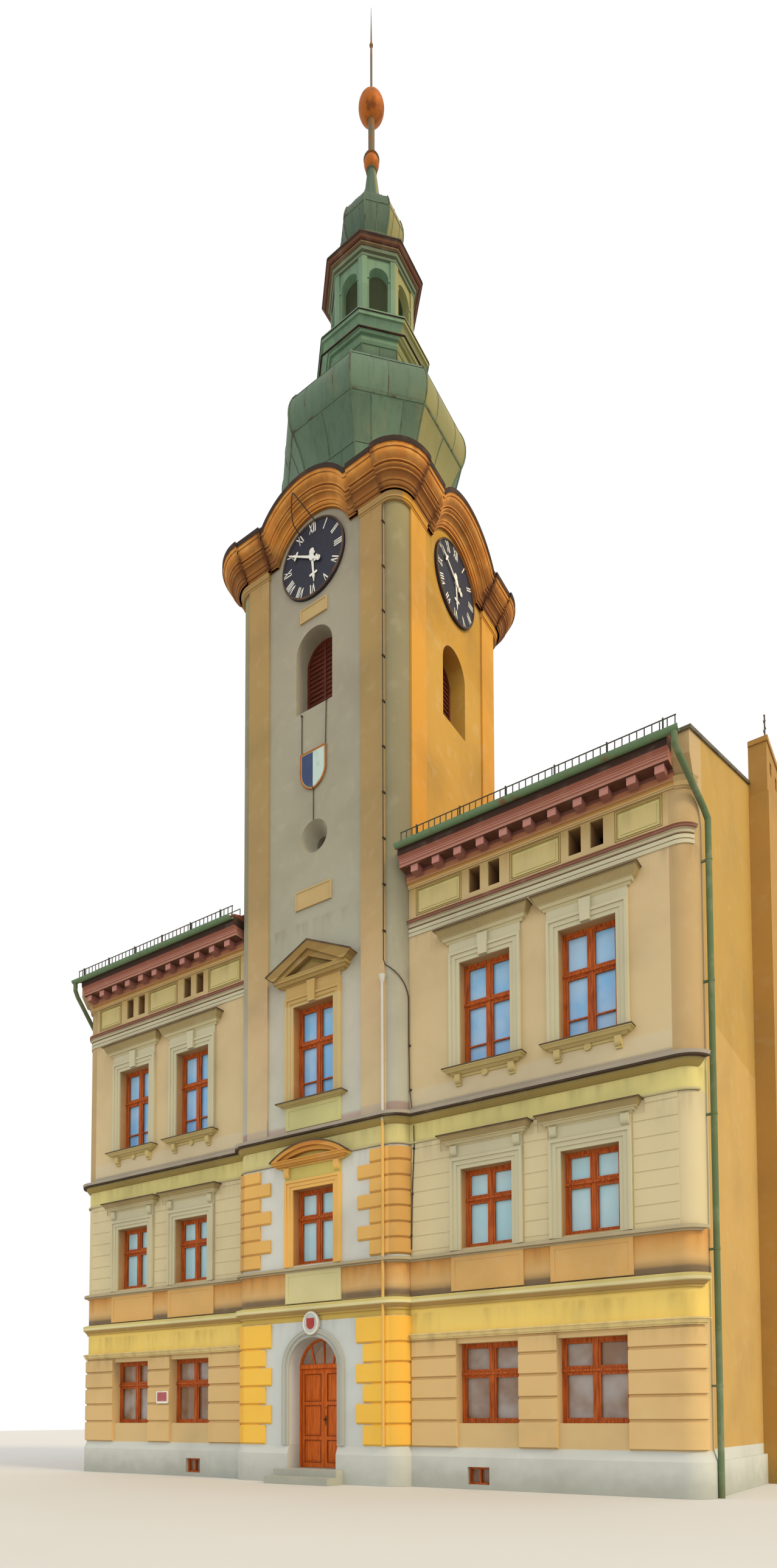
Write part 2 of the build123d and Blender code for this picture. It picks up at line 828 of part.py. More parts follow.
def pointed_pediment():
    """A level shelf, and over it a gable whose rake steps back to a sunk triangle."""
    steps = [(0, 60), (30, 100), (30, 130), (90, 170), (90, 200), (gable_shelf, 200)]
    body = moulded(shelf(0, gable_return - 190, tower_front), rising(gable_low, steps))
    foot = gable_low + gable_shelf
    points = [(gable_return, foot), (gable_half, gable_tip), (0, gable_apex), (-gable_half, gable_tip),
              (-gable_return, foot)]
    rake = along_y(make_face(Polyline(*points, close=True)), tower_front - hood_proud, tower_front)
    front = tower_front - hood_proud - 1
    rake -= along_y(triangle(980, foot, gable_apex - 190), front, tower_front - 205)
    rake -= along_y(triangle(720, foot + 30, gable_apex - 350), front, tower_front - 60)
    rake += along_y(triangle(500, foot + 60, gable_apex - 440), tower_front - 95, tower_front - 60)
    return body + rake


def tower_window_surrounds():
    half = tower_window_half + tower_architrave
    top = tower_first_head + tower_architrave
    first = stepped_frame(0, tower_window_half, sill_course_high, tower_first_head,
                          tower_architrave, tower_front)
    first += frieze(0, half, top, bow_low, tower_front) + console_pair(0, tower_front, bow_low, bow_low - top)
    second = stepped_frame(0, tower_window_half, second_sill, tower_second_head,
                           tower_architrave, tower_front)
    second += frieze(0, half, tower_second_head + tower_architrave, gable_low, tower_front)
    second += keystone(0, tower_second_head, gable_low, tower_front)
    place("tower_window_surrounds", [first + round_pediment(), second + pointed_pediment()])


def apron(axis, half, low, high, wall_y):
    """A raised panel under a window, with a sunk field."""
    slab = block((axis - half, axis + half), (wall_y - apron_proud, wall_y), (low, high))
    face = wall_y - apron_proud
    across = (axis - half + apron_rim, axis + half - apron_rim)
    return slab - block(across, (face - 1, face + apron_sunk), (low + apron_rim, high - apron_rim))


def window_aprons():
    low = ground_cornice_top + 20
    tower_half_width = tower_window_half + tower_architrave
    made = both([apron(axis, apron_half, low, sill_course_low, 0) for axis in wing_axes])
    made.append(apron(0, tower_half_width, low, sill_course_low, tower_front))
    low, high = main_string[-1][0] + 30, second_sill - tower_sill_thick
    made.append(apron(0, tower_half_width, low, high, tower_front))
    place("window_aprons", made)


# Rustication

quoin_proud = 50
quoin_bevel = 40
quoin_back = 12
ground_courses = (850, 1322, 1784, 2209, 2657, 3087, 3680)
first_courses = (4990, 5350, 5690, 6040, 6380, 6710, 7050, 7370)
groove = 24
short_bound = 1620


def quoin_column(courses, long_in, short_in, long_first):
    """Stones with sloped undersides that wrap the tower's rounded corner, long and short by turns."""
    made = []
    for k in range(len(courses) - 1):
        low, high = courses[k], courses[k + 1] - groove
        inner = long_in if (k % 2 == 0) == long_first else short_in
        stages = [(low, quoin_back), (low + quoin_bevel, quoin_proud), (high, quoin_proud)]
        ring = moulded_ring(tower_plan, stages)
        made.append(ring & block((inner, far), (-far, 0), (low, high)))
    back = band(tower_plan, courses[0], courses[-1] - groove, quoin_back)
    made.append(back & block((short_bound, far), (-far, 0), (courses[0], courses[-1] - groove)))
    return joined(made)


def tower_quoins():
    ground = quoin_column(ground_courses, 1237, 1417, False)
    first = quoin_column(first_courses, 1276, 1600, False)
    place("tower_quoins", both([ground, first]))


pier_proud = 70
pier_courses = (850, 1400, 1860, 2310, 2740, 3110)
pier_gap = 60
impost_steps = [(0, 70), (35, 70), (35, 95), (105, 120), (105, 140), (125, 140), (145, 80)]
impost = rising(pier_courses[-1] + 5, impost_steps)


def rusticated_piers():
    """Coursed piers between the ground-floor windows, and the impost band that runs over them."""
    beside_tower = block((tower_half + pier_gap, far), (-far, string_end), (0, far))
    shell = band(wing_plan, pier_courses[0], pier_courses[-1], pier_proud / 3)
    for k in range(len(pier_courses) - 1):
        low, high = pier_courses[k], pier_courses[k + 1] - groove
        edge = pier_proud / 3
        bevel = [(low, edge), (low + 25, pier_proud), (high - 25, pier_proud), (high, edge)]
        shell += moulded_ring(wing_plan, bevel)
    shell &= beside_tower
    for axis in wing_axes:
        shell -= block((axis - ground_half, axis + ground_half), (-far, string_end), (0, far))
    place("rusticated_piers", both(shell.solids() + [moulded_ring(wing_plan, impost) & beside_tower]))


course_proud = 15
course_back = 5
course_step = 320
course_count = 8
course_groove = 24
course_clear = 30


def wing_courses():
    """Flat joints in the plaster of the first floor, stopped short of the windows."""
    low, high = sill_course_high, string_low
    x0, x1 = tower_half + pier_gap, half_width - corner_radius
    first_joint = low + 110
    face = block((x0, x1), (-course_proud, 0), (low, high))
    for k in range(course_count):
        joint = first_joint + course_step * k
        face -= block((x0 - 1, x1 + 1), (-course_proud - 1, -course_back), (joint - course_groove, joint))
    for axis in wing_axes:
        half = wing_half + architrave + course_clear
        face -= block((axis - half, axis + half), (-far, far), (low - 1, high + 1))
        half = first_hood_half + course_clear
        face -= block((axis - half, axis + half), (-far, far), (first_hood_low - course_clear, high + 1))
    place("wing_courses", both(face.solids()))


# Windows


def casement(axis, half, low, high, y, rail_share, bar_share):
    """A timber frame with a mullion and a rail, its four sashes and a drip on the rail, as one piece."""
    z = low + (high - low) * rail_share
    edge, middle = half - window_frame, mullion / 2
    cells, lights = [], []
    for x0, x1 in ((axis - edge, axis - middle), (axis + middle, axis + edge)):
        for z0, z1 in ((low + window_frame, z - rail / 2), (z + rail / 2, high - window_frame)):
            cells.append(rect(x0, x1, z0, z1))
            light = rect(x0 + sash, x1 - sash, z0 + sash, z1 - sash)
            bar = low + (high - low) * bar_share
            if bar_share and z0 < bar < z1:
                light -= rect(x0, x1, bar - glazing_bar / 2, bar + glazing_bar / 2)
            lights.append(light)
    outer = rect(axis - half, axis + half, low, high)
    frame, sashes = outer, joined(cells)
    for cell, light in zip(cells, lights):
        frame -= cell
        sashes -= light
    made = along_y(frame, y, y + window_depth) + along_y(sashes, y + sash_back, y + window_depth - sash_back)
    return made + block((axis - half, axis + half), (y - drip_proud, y), (z - 20, z + 20))


def pane(axis, half, low, high, y):
    y += window_depth
    return block((axis - half, axis + half), (y, y + glass_thick), (low, high))


def glazed(openings, y):
    """Frames and panes for a list of openings, all at one depth."""
    frames, panes = [], []
    for axis, half, low, high in openings:
        bar_share = 0.22 if high - low > 2000 else 0
        frames.append(casement(axis, half, low, high, y, 0.62, bar_share))
        panes.append(pane(axis, half, low, high, y))
    return frames, panes


def cellar_window():
    """A small frame with a mullion in the plinth, and the pane behind it."""
    half, y = cellar_half, 0
    frame = rect(cellar_axis - half, cellar_axis + half, cellar_low, cellar_high)
    for x0, x1 in ((cellar_axis - half + 40, cellar_axis - 20), (cellar_axis + 20, cellar_axis + half - 40)):
        frame -= rect(x0, x1, cellar_low + 40, cellar_high - 40)
    return along_y(frame, y, y + window_depth), pane(cellar_axis, half, cellar_low, cellar_high, y)


def windows():
    wing_frames, wing_panes = glazed(windows_on_wing, window_recess)
    small_frame, small_pane = cellar_window()
    on_tower = [(0, tower_window_half, first_sill, tower_first_head),
                (0, tower_window_half, second_sill, tower_second_head)]
    tower_frames, tower_panes = glazed(on_tower, tower_front + window_recess)
    middle = [(0, wing_half, low, high) for low, high in
              ((ground_sill, ground_head), (first_sill, first_head), (second_sill, second_head))]
    middle_frames, middle_panes = glazed(middle, window_recess)
    place("window_frames_front", both(wing_frames + [small_frame]) + tower_frames)
    place("window_frames_rear", [turned(one) for one in both(wing_frames) + middle_frames])
    front = both(wing_panes + [small_pane]) + tower_panes
    return front, [turned(one) for one in both(wing_panes) + middle_panes]


def glazing(panes, rear_panes):
    fan_y = tower_front + door_depth + frame_depth / 2
    fan = along_y(arch_face(door_half - frame_width, ground_floor, door_spring), fan_y, fan_y + glass_thick)
    fan &= block((-far, far), (-far, far), (door_spring + transom_height, far))
    place("window_glass_front", panes + [fan])
    place("window_glass_rear", rear_panes)


# Doorway

frame_y = tower_front + door_depth
frame_back = frame_y + frame_depth
leaf_y = frame_back - leaf_thick
leaf_outer = door_half - frame_width - leaf_gap
hinge_x = leaf_outer + leaf_gap / 2
hinge_y = frame_back + hinge_back


fan_bar = 22
fan_lean = 14
panel_tops = (950, 1750, 2480)
panel_margin = 90
panel_gap = 100


def door_frame():
    """Jambs, transom, a fanlight with three bars, and the lower halves of the hinges."""
    outer = along_y(arch_face(door_half, ground_floor, door_spring), frame_y, frame_back)
    clear = (-door_half + frame_width, door_half - frame_width)
    opening = block(clear, (-far, far), (ground_floor - 1, door_spring))
    fan = along_y(arch_face(door_half - frame_width, ground_floor, door_spring), frame_y - 1, frame_back + 1)
    fan &= block((-far, far), (-far, far), (door_spring + transom_height, far))
    frame = outer - opening - fan
    bar_y = (frame_y + 15, frame_back - 50)
    for lean in (-1, 1):
        foot = Pos(lean * door_half * 0.38, 0, door_spring + transom_height) * Rot(0, lean * fan_lean, 0)
        frame += foot * block((-fan_bar, fan_bar), bar_y, (-20, 480))
    frame += block((-fan_bar, fan_bar), bar_y, (door_spring, door_spring + door_half - 20))
    on_transom = (door_spring + 10, door_spring + transom_height - 20)
    drip = block(clear, (frame_y - drip_proud, frame_y), on_transom)
    frame += drip
    for z in (knuckle_low, knuckle_high):
        for side in (-1, 1):
            x = side * hinge_x
            knuckle = Pos(x, hinge_y, z - knuckle_height / 2) * Cylinder(knuckle_radius, knuckle_height)
            arm = block((x - 10, x + 10), (frame_back, hinge_y), (z - knuckle_height, z))
            arm = Pos(side * knuckle_radius, 0, 0) * arm
            frame += knuckle + arm
    place("door_frame", frame)


def door_leaf(side):
    """One leaf with three raised panels, and the upper half of each hinge."""
    x0, x1 = meeting_gap / 2, leaf_outer
    low, high = ground_floor + leaf_gap, door_spring - leaf_gap
    leaf = block((x0, x1), (leaf_y, frame_back), (low, high))
    panel_low = low + 120
    middle = (x0 + x1) / 2
    for top in panel_tops:
        half, tall = (x1 - x0) / 2 - panel_margin, top - panel_low
        leaf -= block((middle - half, middle + half), (leaf_y - 1, leaf_y + 16), (panel_low, top))
        centre = Pos(middle, panel_low + tall / 2)
        raised = [Plane.XZ.offset(-leaf_y - sunk) * centre * Rectangle(2 * half - margin, tall - margin)
                  for sunk, margin in ((17, 40), (3, 110))]
        leaf += loft(raised, ruled=True)
        panel_low = top + panel_gap
    for z in (knuckle_low, knuckle_high):
        leaf += Pos(hinge_x, hinge_y, z + knuckle_height / 2) * Cylinder(knuckle_radius, knuckle_height)
        strap = (hinge_x - knuckle_radius - 18, hinge_x)
        leaf += block(strap, (frame_back - 5, hinge_y), (z, z + knuckle_height))
    return leaf if side > 0 else mirror(leaf, about=Plane.YZ)


surround_inner = 90
surround_inner_proud = 40


def door_surround():
    """An arched border in two steps, from the plinth up."""
    outer = arch_face(door_half + surround_width, ground_floor, door_spring)
    middle = arch_face(door_half + surround_inner, ground_floor - 1, door_spring)
    hole = arch_face(door_half, ground_floor - 2, door_spring)
    ring = along_y(outer - middle, tower_front - surround_proud, tower_front)
    ring += along_y(middle - hole, tower_front - surround_inner_proud, tower_front)
    return ring & block((-far, far), (-far, far), (plinth_height + plinth_slope, far))


def door_steps():
    y1 = tower_front - plinth_proud
    half = door_half + surround_width
    steps = block((-half, half), (y1 - step_over, y1), (0, 2 * step_rise - 1))
    steps += block((-half, half), (y1 - step_over - step_going, y1), (0, step_rise))
    steps += block((-door_half, door_half), (y1, tower_front_in), (0, ground_floor))
    place("door_steps", steps)


# Clocks and plaques


def dial():
    """A round plate with a raised rim, and the collar and arbor that carry the hands."""
    def boss(outside, inside, radius):
        middle = Pos(0, (outside + inside) / 2, clock_height)
        return middle * Rot(90, 0, 0) * Cylinder(radius, inside - outside)

    disc = boss(tower_front - dial_thick, tower_front, dial_radius)
    front = tower_front - dial_thick
    rim = Circle(dial_radius) - Circle(dial_radius - dial_rim)
    disc += along_y(Pos(0, clock_height) * rim, front - dial_rim_proud, front)
    collar_end = front - hand_gap
    disc += boss(collar_end, front, arbor_collar)
    tip = collar_end - hand_thick - hand_gap
    disc += boss(tip, collar_end, arbor_radius)
    return disc


def hand(length, width, tail, bore, back_y, degrees):
    """A pointer with a round hub, a trefoil near its tip and a lobed tail, turned clockwise from twelve."""
    points = [(-width / 2, 0), (-width / 4, length), (0, length + width), (width / 4, length), (width / 2, 0),
              (width / 3, -tail), (-width / 3, -tail)]
    cross = length * 0.72
    face = Circle(hub_radius) + make_face(Polyline(*points, close=True)) + Pos(0, -tail) * Circle(width)
    for lean in (-1, 1):
        face += Pos(lean * width * 0.9, cross) * Ellipse(width * 0.8, width * 0.45)
        face += Pos(lean * width * 0.8, -tail * 0.62) * Circle(width * 0.5)
    face += Pos(0, cross + width) * Ellipse(width * 0.5, width * 0.8)
    if bore:
        face -= Circle(bore)
    face = Pos(0, clock_height) * Rot(0, 0, -degrees) * face
    return along_y(face, back_y - hand_thick, back_y)


hub_radius = 70
minute_degrees = 300
hour_degrees = 175


def clocks():
    place("clock_dials", around_tower(dial()))
    hour_back = tower_front - dial_thick - hand_gap
    minute_back = hour_back - hand_thick - hand_gap
    names = ("front", "right", "rear", "left")
    hours = around_tower(hand(hour_length, 70, 180, hour_hub_bore, hour_back, hour_degrees))
    minutes = around_tower(hand(minute_length - 60, 60, 230, 0, minute_back, minute_degrees))
    for name, hour_hand, minute_hand in zip(names, hours, minutes):
        place(f"hour_hand_{name}", hour_hand)
        place(f"minute_hand_{name}", minute_hand)


def belfry_shutters():
    face = arch_face(belfry_half, belfry_sill, belfry_spring)
    inner = arch_face(belfry_half - shutter_frame, belfry_sill + shutter_frame, belfry_spring)
    inner -= rect(-shutter_frame / 2, shutter_frame / 2, belfry_sill, belfry_spring + belfry_half)
    shutter = along_y(face, tower_front + shutter_recess, tower_front + shutter_recess + shutter_thick)
    shutter -= along_y(inner, tower_front + shutter_recess - 1, tower_front + shutter_recess + shutter_sunk)
    place("belfry_shutters", around_tower(shutter))


plaque_proud = 40
plaque_rim = 35
plaque_sunk = 12
shield_half = 357
shield_top = belfry_sill - 1100
shield_shoulder = shield_top - 500
shield_tip = shield_top - 900
wide_tablet = (530, roof_at_front - 653, roof_at_front - 203)
narrow_tablet = (400, belfry_spring + 770, belfry_spring + 1110)
oval_height = 3615
oval_across = 235
oval_up = 275


def tablet(half, low, high):
    """A bare tablet with a raised rim."""
    slab = block((-half, half), (tower_front - plaque_proud, tower_front), (low, high))
    sunk = (-far, tower_front - plaque_proud + plaque_sunk)
    return slab - block((-half + plaque_rim, half - plaque_rim), sunk,
                        (low + plaque_rim, high - plaque_rim))


def oval():
    """An oval plate that leans on the door surround, and the pad that fills in behind its upper half."""
    plate = along_y(Pos(0, oval_height) * Ellipse(oval_across, oval_up),
                    tower_front - plaque_proud - surround_proud, tower_front - surround_proud)
    pad = along_y(Pos(0, oval_height) * Ellipse(oval_across - plaque_rim, oval_up - plaque_rim),
                  tower_front - surround_proud, tower_front)
    pad &= block((-far, far), (-far, far), (door_spring + door_half + surround_width, far))
    return plate + pad


def plaques():
    """Two bare tablets, a shield hung on the wall and an oval over the door."""
    side = (shield_half * 0.71, shield_tip + (shield_shoulder - shield_tip) * 0.37)
    outline = Polyline((-shield_half, shield_shoulder), (-shield_half, shield_top), (shield_half, shield_top),
                       (shield_half, shield_shoulder))
    outline += ThreePointArc((shield_half, shield_shoulder), side, (0, shield_tip))
    outline += ThreePointArc((0, shield_tip), (-side[0], side[1]), (-shield_half, shield_shoulder))
    shield = along_y(make_face(outline), tower_front - plaque_proud, tower_front)
    place("plaques", [tablet(*wide_tablet), tablet(*narrow_tablet), shield, oval()])


capital_foot = cornice_foot - 150
capital = rising(capital_foot, [(0, 60), (30, 75), (30, 95), (70, 95), (70, 70), (150, 110)])
capital_over = 20


def corner_zone(reach):
    """Everything that lies beyond a distance from the tower's middle, both along and across."""
    along = block((-reach, reach), (-far, far), (0, far))
    across = block((-far, far), (tower_mid - reach, tower_mid + reach), (0, far))
    return along + across


def tower_pilasters():
    """Two flat strips on each face, down to the string course in front and the roof elsewhere."""
    stands = (tower_front - pilaster_proud, tower_front)
    strip = block((pilaster_in, pilaster_out), stands, (pilaster_foot, capital_foot))
    ridge = roof_top(depth / 2)
    under_roof = [(-depth, 0), (2 * depth, 0), (2 * depth, ridge), (depth / 2, ridge),
                  (-depth, roof_top(-depth))]
    house = along_x(under_roof, -half_width, half_width)
    made = []
    for one in both([strip]):
        sides = around_tower(one)
        made.append(sides[0])
        made += [side - house for side in sides[1:]]
    heads = moulded_ring(tower_plan, capital) - corner_zone(pilaster_in - capital_over)
    place("tower_pilasters", made + heads.solids())


# Tower cornice with an eyebrow arch over each clock: heights are shares of the cornice's height

cornice_layers = [(0.00, 0.12, 70), (0.12, 0.20, 115), (0.20, 0.32, 150), (0.32, 0.42, 210),
                  (0.42, 0.54, 250), (0.54, 0.66, 340), (0.66, 0.84, 420)]
flashing_low = 0.84
flashing_proud = 500
brow_half_foot = 1070
brow_half_top = 1220
brow_rise_foot = 750
brow_rise_top = 620
cornice_round = 2020
brow_zone = 1300
pilaster_break = 45
corner_break = 90


def brow(share):
    """Flat height, half chord and apex of the eyebrow curve at a share of the cornice's height."""
    flat = cornice_foot + (cornice_top - cornice_foot) * share
    half = brow_half_foot + (brow_half_top - brow_half_foot) * share
    rise = brow_rise_foot + (brow_rise_top - brow_rise_foot) * share
    return flat, half, flat + rise


def cornice_plan(proud):
    width = 2 * (tower_half + proud)
    return Pos(0, tower_mid) * RectangleRounded(width, width, tower_half + proud - cornice_round)


def brow_band(low_share, high_share, reach):
    """The band between two eyebrow curves, in X and Z."""
    flat0, half0, apex0 = brow(low_share)
    flat1, half1, apex1 = brow(high_share)
    outline = Polyline((-half0, flat0), (-reach, flat0), (-reach, flat1), (-half1, flat1))
    outline += ThreePointArc((-half1, flat1), (0, apex1), (half1, flat1))
    outline += Polyline((half1, flat1), (reach, flat1), (reach, flat0), (half0, flat0))
    outline += ThreePointArc((half0, flat0), (0, apex0), (-half0, flat0))
    return make_face(outline)


def brow_fronts(low_share, high_share, proud, reach):
    """The band on all four faces, as wide as a reach to either side."""
    deep = tower_half + proud
    band_face = brow_band(low_share, high_share, reach)
    return around_tower(along_y(band_face, tower_mid - deep, tower_mid - tower_inner))


def brow_ring(low_share, high_share, proud):
    ring = joined(brow_fronts(low_share, high_share, proud, tower_half + proud))
    return ring & standing(cornice_plan(proud), cornice_foot - 100, far)


def corner_stages(layers, extra):
    stages = []
    for low, high, proud in layers:
        stages += [(brow(low)[0], proud + extra), (brow(high)[0], proud + extra)]
    return stages


def corner_blocks(layers):
    """Level mouldings at the corners, which break forward over the pilasters and over the round corner."""
    over_pilaster = moulded(cornice_plan, corner_stages(layers, pilaster_break)) - corner_zone(brow_zone)
    over_corner = moulded(cornice_plan, corner_stages(layers, corner_break)) - corner_zone(pilaster_out)
    return over_pilaster + over_corner


def cornice_body(layers):
    """The arched mouldings between the corner blocks, and the blocks, round the tower's shaft."""
    fronts = [joined([brow_fronts(low, high, proud, brow_zone)[k] for low, high, proud in layers])
              for k in range(4)]
    shaft = standing(tower_plan(), cornice_foot - 100, cornice_top)
    return joined(fronts + [corner_blocks(layers)]) - shaft


def tower_cornice():
    place("tower_cornice", cornice_body(cornice_layers))


def cornice_roof():
    """The dark metal edge with the arched roofs behind it."""
    place("cornice_roof", cornice_body([(flashing_low, 1, flashing_proud)]))


# Helm


def octagon_solid(profile):
    """A body with eight equal sides: its half profile stands in every side's direction."""
    reach = 4000
    face = make_face(profile + mirror(profile, about=Plane.YZ))
    slab = Pos(0, -reach, 0) * extrude(Plane.XZ * face, amount=2 * reach, dir=(0, 1, 0))
    body = slab
    for k in (1, 2, 3):
        body &= Rot(0, 0, 45 * k) * slab
    return Pos(0, tower_mid, 0) * body


def octagon(half):
    """An octagonal plan, given half its width across flats."""
    return Pos(0, tower_mid) * RegularPolygon(half / math.cos(math.radians(22.5)), 8, rotation=22.5)


def prism(half, low, high):
    return standing(octagon(half), low, high)


neck_half = 1080


def lower_onion():
    """The large helm: a flared skirt, a waist, a bulge and a neck, as reach and height over its foot."""
    def at(reach, height):
        return reach, cornice_top + height

    foot, waist, shoulder = at(2750, 0), at(1750, 1550), at(2200, 2950)
    crown, neck = at(2040, 4000), at(neck_half, 5250)
    curves = ThreePointArc(foot, at(2050, 650), waist) + ThreePointArc(waist, at(1900, 2300), shoulder)
    curves += ThreePointArc(shoulder, at(2270, 3350), crown) + ThreePointArc(crown, at(1420, 4500), neck)
    profile = Polyline((0, cornice_top), foot) + curves + Polyline(neck, (neck_half, neck_top), (0, neck_top))
    onion = octagon_solid(profile)
    onion -= brow_ring(0, 1, flashing_proud + corner_break)
    place("lower_onion", onion)


platform_steps = [(0, 1100), (50, 1140), (50, 1120), (190, 1120), (190, 1180), (230, 1210), (230, 1240),
                  (330, 1310), (390, 1350), (390, 1400), (470, 1400), (500, 1410), (540, 1410)]
lantern_cornice_steps = [(0, 1045), (40, 1060), (40, 1030), (110, 1030), (110, 1080), (190, 1120),
                         (190, 1160), (230, 1160), (230, 1190), (300, 1257), (370, 1257)]
lantern_roof_foot = lantern_head + 370


def lantern():
    """Platform, eight piers with strips at the corners, round arches and the crowning cornice."""
    place("lantern_platform", moulded(octagon, rising(neck_top, platform_steps)))
    body = prism(lantern_half, lantern_foot, lantern_head)
    strips = prism(lantern_half + lantern_strip, lantern_foot, lantern_head)
    imposts = prism(lantern_half + lantern_strip - 15, lantern_spring - 80, lantern_spring)
    holes = []
    for k in range(4):
        turn = Pos(0, tower_mid, 0) * Rot(0, 0, 45 * k)
        strips -= turn * block((-lantern_strip_in, lantern_strip_in), (-far, far), (0, far))
        hole = arch_face(lantern_opening, lantern_foot - 10, lantern_spring)
        holes.append(turn * along_y(hole, -3 * lantern_half, 3 * lantern_half))
    body = joined([body, strips, imposts]) - prism(lantern_half - lantern_wall, lantern_foot, lantern_head)
    for hole in holes:
        body -= hole
    piers = body & block((-far, far), (-far, far), (lantern_foot, lantern_spring))
    place("lantern_piers", piers.solids())
    place("lantern_arches", body & block((-far, far), (-far, far), (lantern_spring, lantern_head)))
    place("lantern_cornice", moulded(octagon, rising(lantern_head, lantern_cornice_steps)))


cone_top = lantern_roof_foot + 3480
ball_height = cone_top + 1820
ball_radius = 345
knob_height = cone_top + 220
knob_radius = 200
pole_radius = 85
rod_radius = 30
rod_collar = ball_height + 1530
bead_height = rod_collar + 300
bead_radius = 50
finial_top = rod_collar + 1400
rod_tip = 4


def upper_onion():
    """The small onion, whose eight sheets end in a crown of raised edges round the cone."""
    def at(reach, height):
        return reach, lantern_roof_foot + height

    foot, waist, edge, inside, spire = at(1200, 0), at(500, 680), at(700, 1880), at(600, 1840), at(220, 2530)
    curves = ThreePointArc(foot, at(700, 230), waist) + ThreePointArc(waist, at(790, 1480), edge)
    profile = Polyline(at(0, 0), foot) + curves + Polyline(edge, inside)
    profile += ThreePointArc(inside, at(350, 2130), spire) + Polyline(spire, (110, cone_top), (0, cone_top))
    place("upper_onion", octagon_solid(profile))


def upright(radius, low, high):
    return Pos(0, tower_mid, (low + high) / 2) * Cylinder(radius, high - low)


def finial():
    """Two gilt balls on a pole, and the pointed rod over them."""
    pole = upright(pole_radius, cone_top, ball_height)
    rod = upright(rod_radius, ball_height, rod_collar)
    tip = Cone(rod_radius, rod_tip, finial_top - rod_collar, align=(Align.CENTER, Align.CENTER, Align.MIN))
    rod += Pos(0, tower_mid, rod_collar) * tip
    rod += Pos(0, tower_mid, bead_height) * Sphere(bead_radius)
    balls = Pos(0, tower_mid, knob_height) * Sphere(knob_radius)
    balls += Pos(0, tower_mid, ball_height) * Sphere(ball_radius)
    place("gilt_balls", (balls - pole - rod).solids())
    place("finial_rod", pole + rod)


flue_low = stack_top - 700
flue_high = stack_top - 400
flue_deep = 90
flue_wide = 180


def stack_block():
    """The full body of a chimney block, which stands against the side wall and rises past the roof."""
    x, y = (half_width, half_width + stack_proud), (stack_front, stack_front + stack_depth)
    return block(x, y, (0, stack_top))


def side_stacks():
    """Chimney blocks that step in above a set-off, with a cap and two flue openings."""
    outer, y1 = half_width + stack_proud, stack_front + stack_depth
    stack = block((half_width, outer), (stack_front, y1), (0, stack_set_off))
    stack += block((half_width, outer - stack_inset), (stack_front + stack_inset, y1 - stack_inset),
                   (stack_set_off, stack_top - stack_cap))
    stack += block((half_width, outer), (stack_front, y1), (stack_top - stack_cap, stack_top))
    for share in (0.3, 0.7):
        middle = stack_front + stack_depth * share
        along = (middle - flue_wide / 2, middle + flue_wide / 2)
        stack -= block((outer - stack_inset - flue_deep, far), along, (flue_low, flue_high))
    place("side_stacks", both([stack]))


front_walls()
side_walls()
rear_wall_part()
tower_base_piers()
doorway_arch()
tower_front_wall()
tower_side_walls()
tower_rear_wall()
floors()
roofs()
gable_copings()
eaves_cornices()
gutters()
snow_guards()
downpipes()
string_courses()
wing_window_surrounds()
window_hoods()
window_sills()
tower_window_surrounds()
window_aprons()
tower_quoins()
rusticated_piers()
wing_courses()
front_panes, back_panes = windows()
glazing(front_panes, back_panes)
door_frame()
place("door_leaf_left", door_leaf(-1))
place("door_leaf_right", door_leaf(1))
place("door_surround", door_surround())
door_steps()
clocks()
belfry_shutters()
plaques()
tower_pilasters()
tower_cornice()
cornice_roof()
lower_onion()
lantern()
upper_onion()
finial()
side_stacks()
print("middle of the footprint", mid_y())
print("hinge", hinge_x, hinge_y - mid_y())
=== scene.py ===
import math

import bmesh
import bpy
import numpy as np
from bpy.props import FloatProperty, FloatVectorProperty, IntProperty
from mathutils import Matrix


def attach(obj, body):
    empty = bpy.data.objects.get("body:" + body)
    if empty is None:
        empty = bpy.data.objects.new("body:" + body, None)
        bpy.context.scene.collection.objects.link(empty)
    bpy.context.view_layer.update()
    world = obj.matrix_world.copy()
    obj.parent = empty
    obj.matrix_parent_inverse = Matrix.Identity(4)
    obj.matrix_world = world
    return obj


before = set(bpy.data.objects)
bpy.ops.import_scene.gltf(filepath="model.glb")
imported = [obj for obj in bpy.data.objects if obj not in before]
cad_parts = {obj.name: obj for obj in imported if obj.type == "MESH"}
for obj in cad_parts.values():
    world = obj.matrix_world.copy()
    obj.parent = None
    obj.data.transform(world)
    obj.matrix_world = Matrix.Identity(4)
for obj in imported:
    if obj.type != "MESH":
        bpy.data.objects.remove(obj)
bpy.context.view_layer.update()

bl_info = {
    "name": "Town hall dressing",
    "version": (1, 0, 0),
    "blender": (4, 5, 0),
    "location": "View3D > Sidebar > Town hall",
    "description": "Finishes and fine pieces of a town hall with a clock tower",
    "category": "Object",
}

# Camera: focal length in pixels of the long side, place in metres, turns in degrees, shift of the lens
PHOTO_LONG_SIDE = 2576
FOCAL_PIXELS = 1486.25
SENSOR_MM = 36.0
CAMERA_AT = (12.87, -21.85, 1.457)
CAMERA_TURNS = ((33.77, "Z"), (92.84, "X"), (-0.17, "Z"))
LENS_SHIFT = (-0.0011, 0.3757)
FLOOR_HALF = 90

# Planes and levels of the building, in metres
WALL = -5.4255
REAR = 5.7745
WINDOW_AXES = (4.285, 6.525)
TOWER = -5.7545
TOWER_MID = -3.3325
TOWER_HALF = 2.422
ROOF_FOOT = 14.053
ROOF_RISE = 0.384
EAVES = 0.46
RIDGE_Y = 0.1745
CORNICE_FOOT = 22.2
CORNICE_HIGH = 0.75
CLOCK_Z = 21.837
DIAL_RADIUS = 0.923
DIAL_FACE = -5.8145


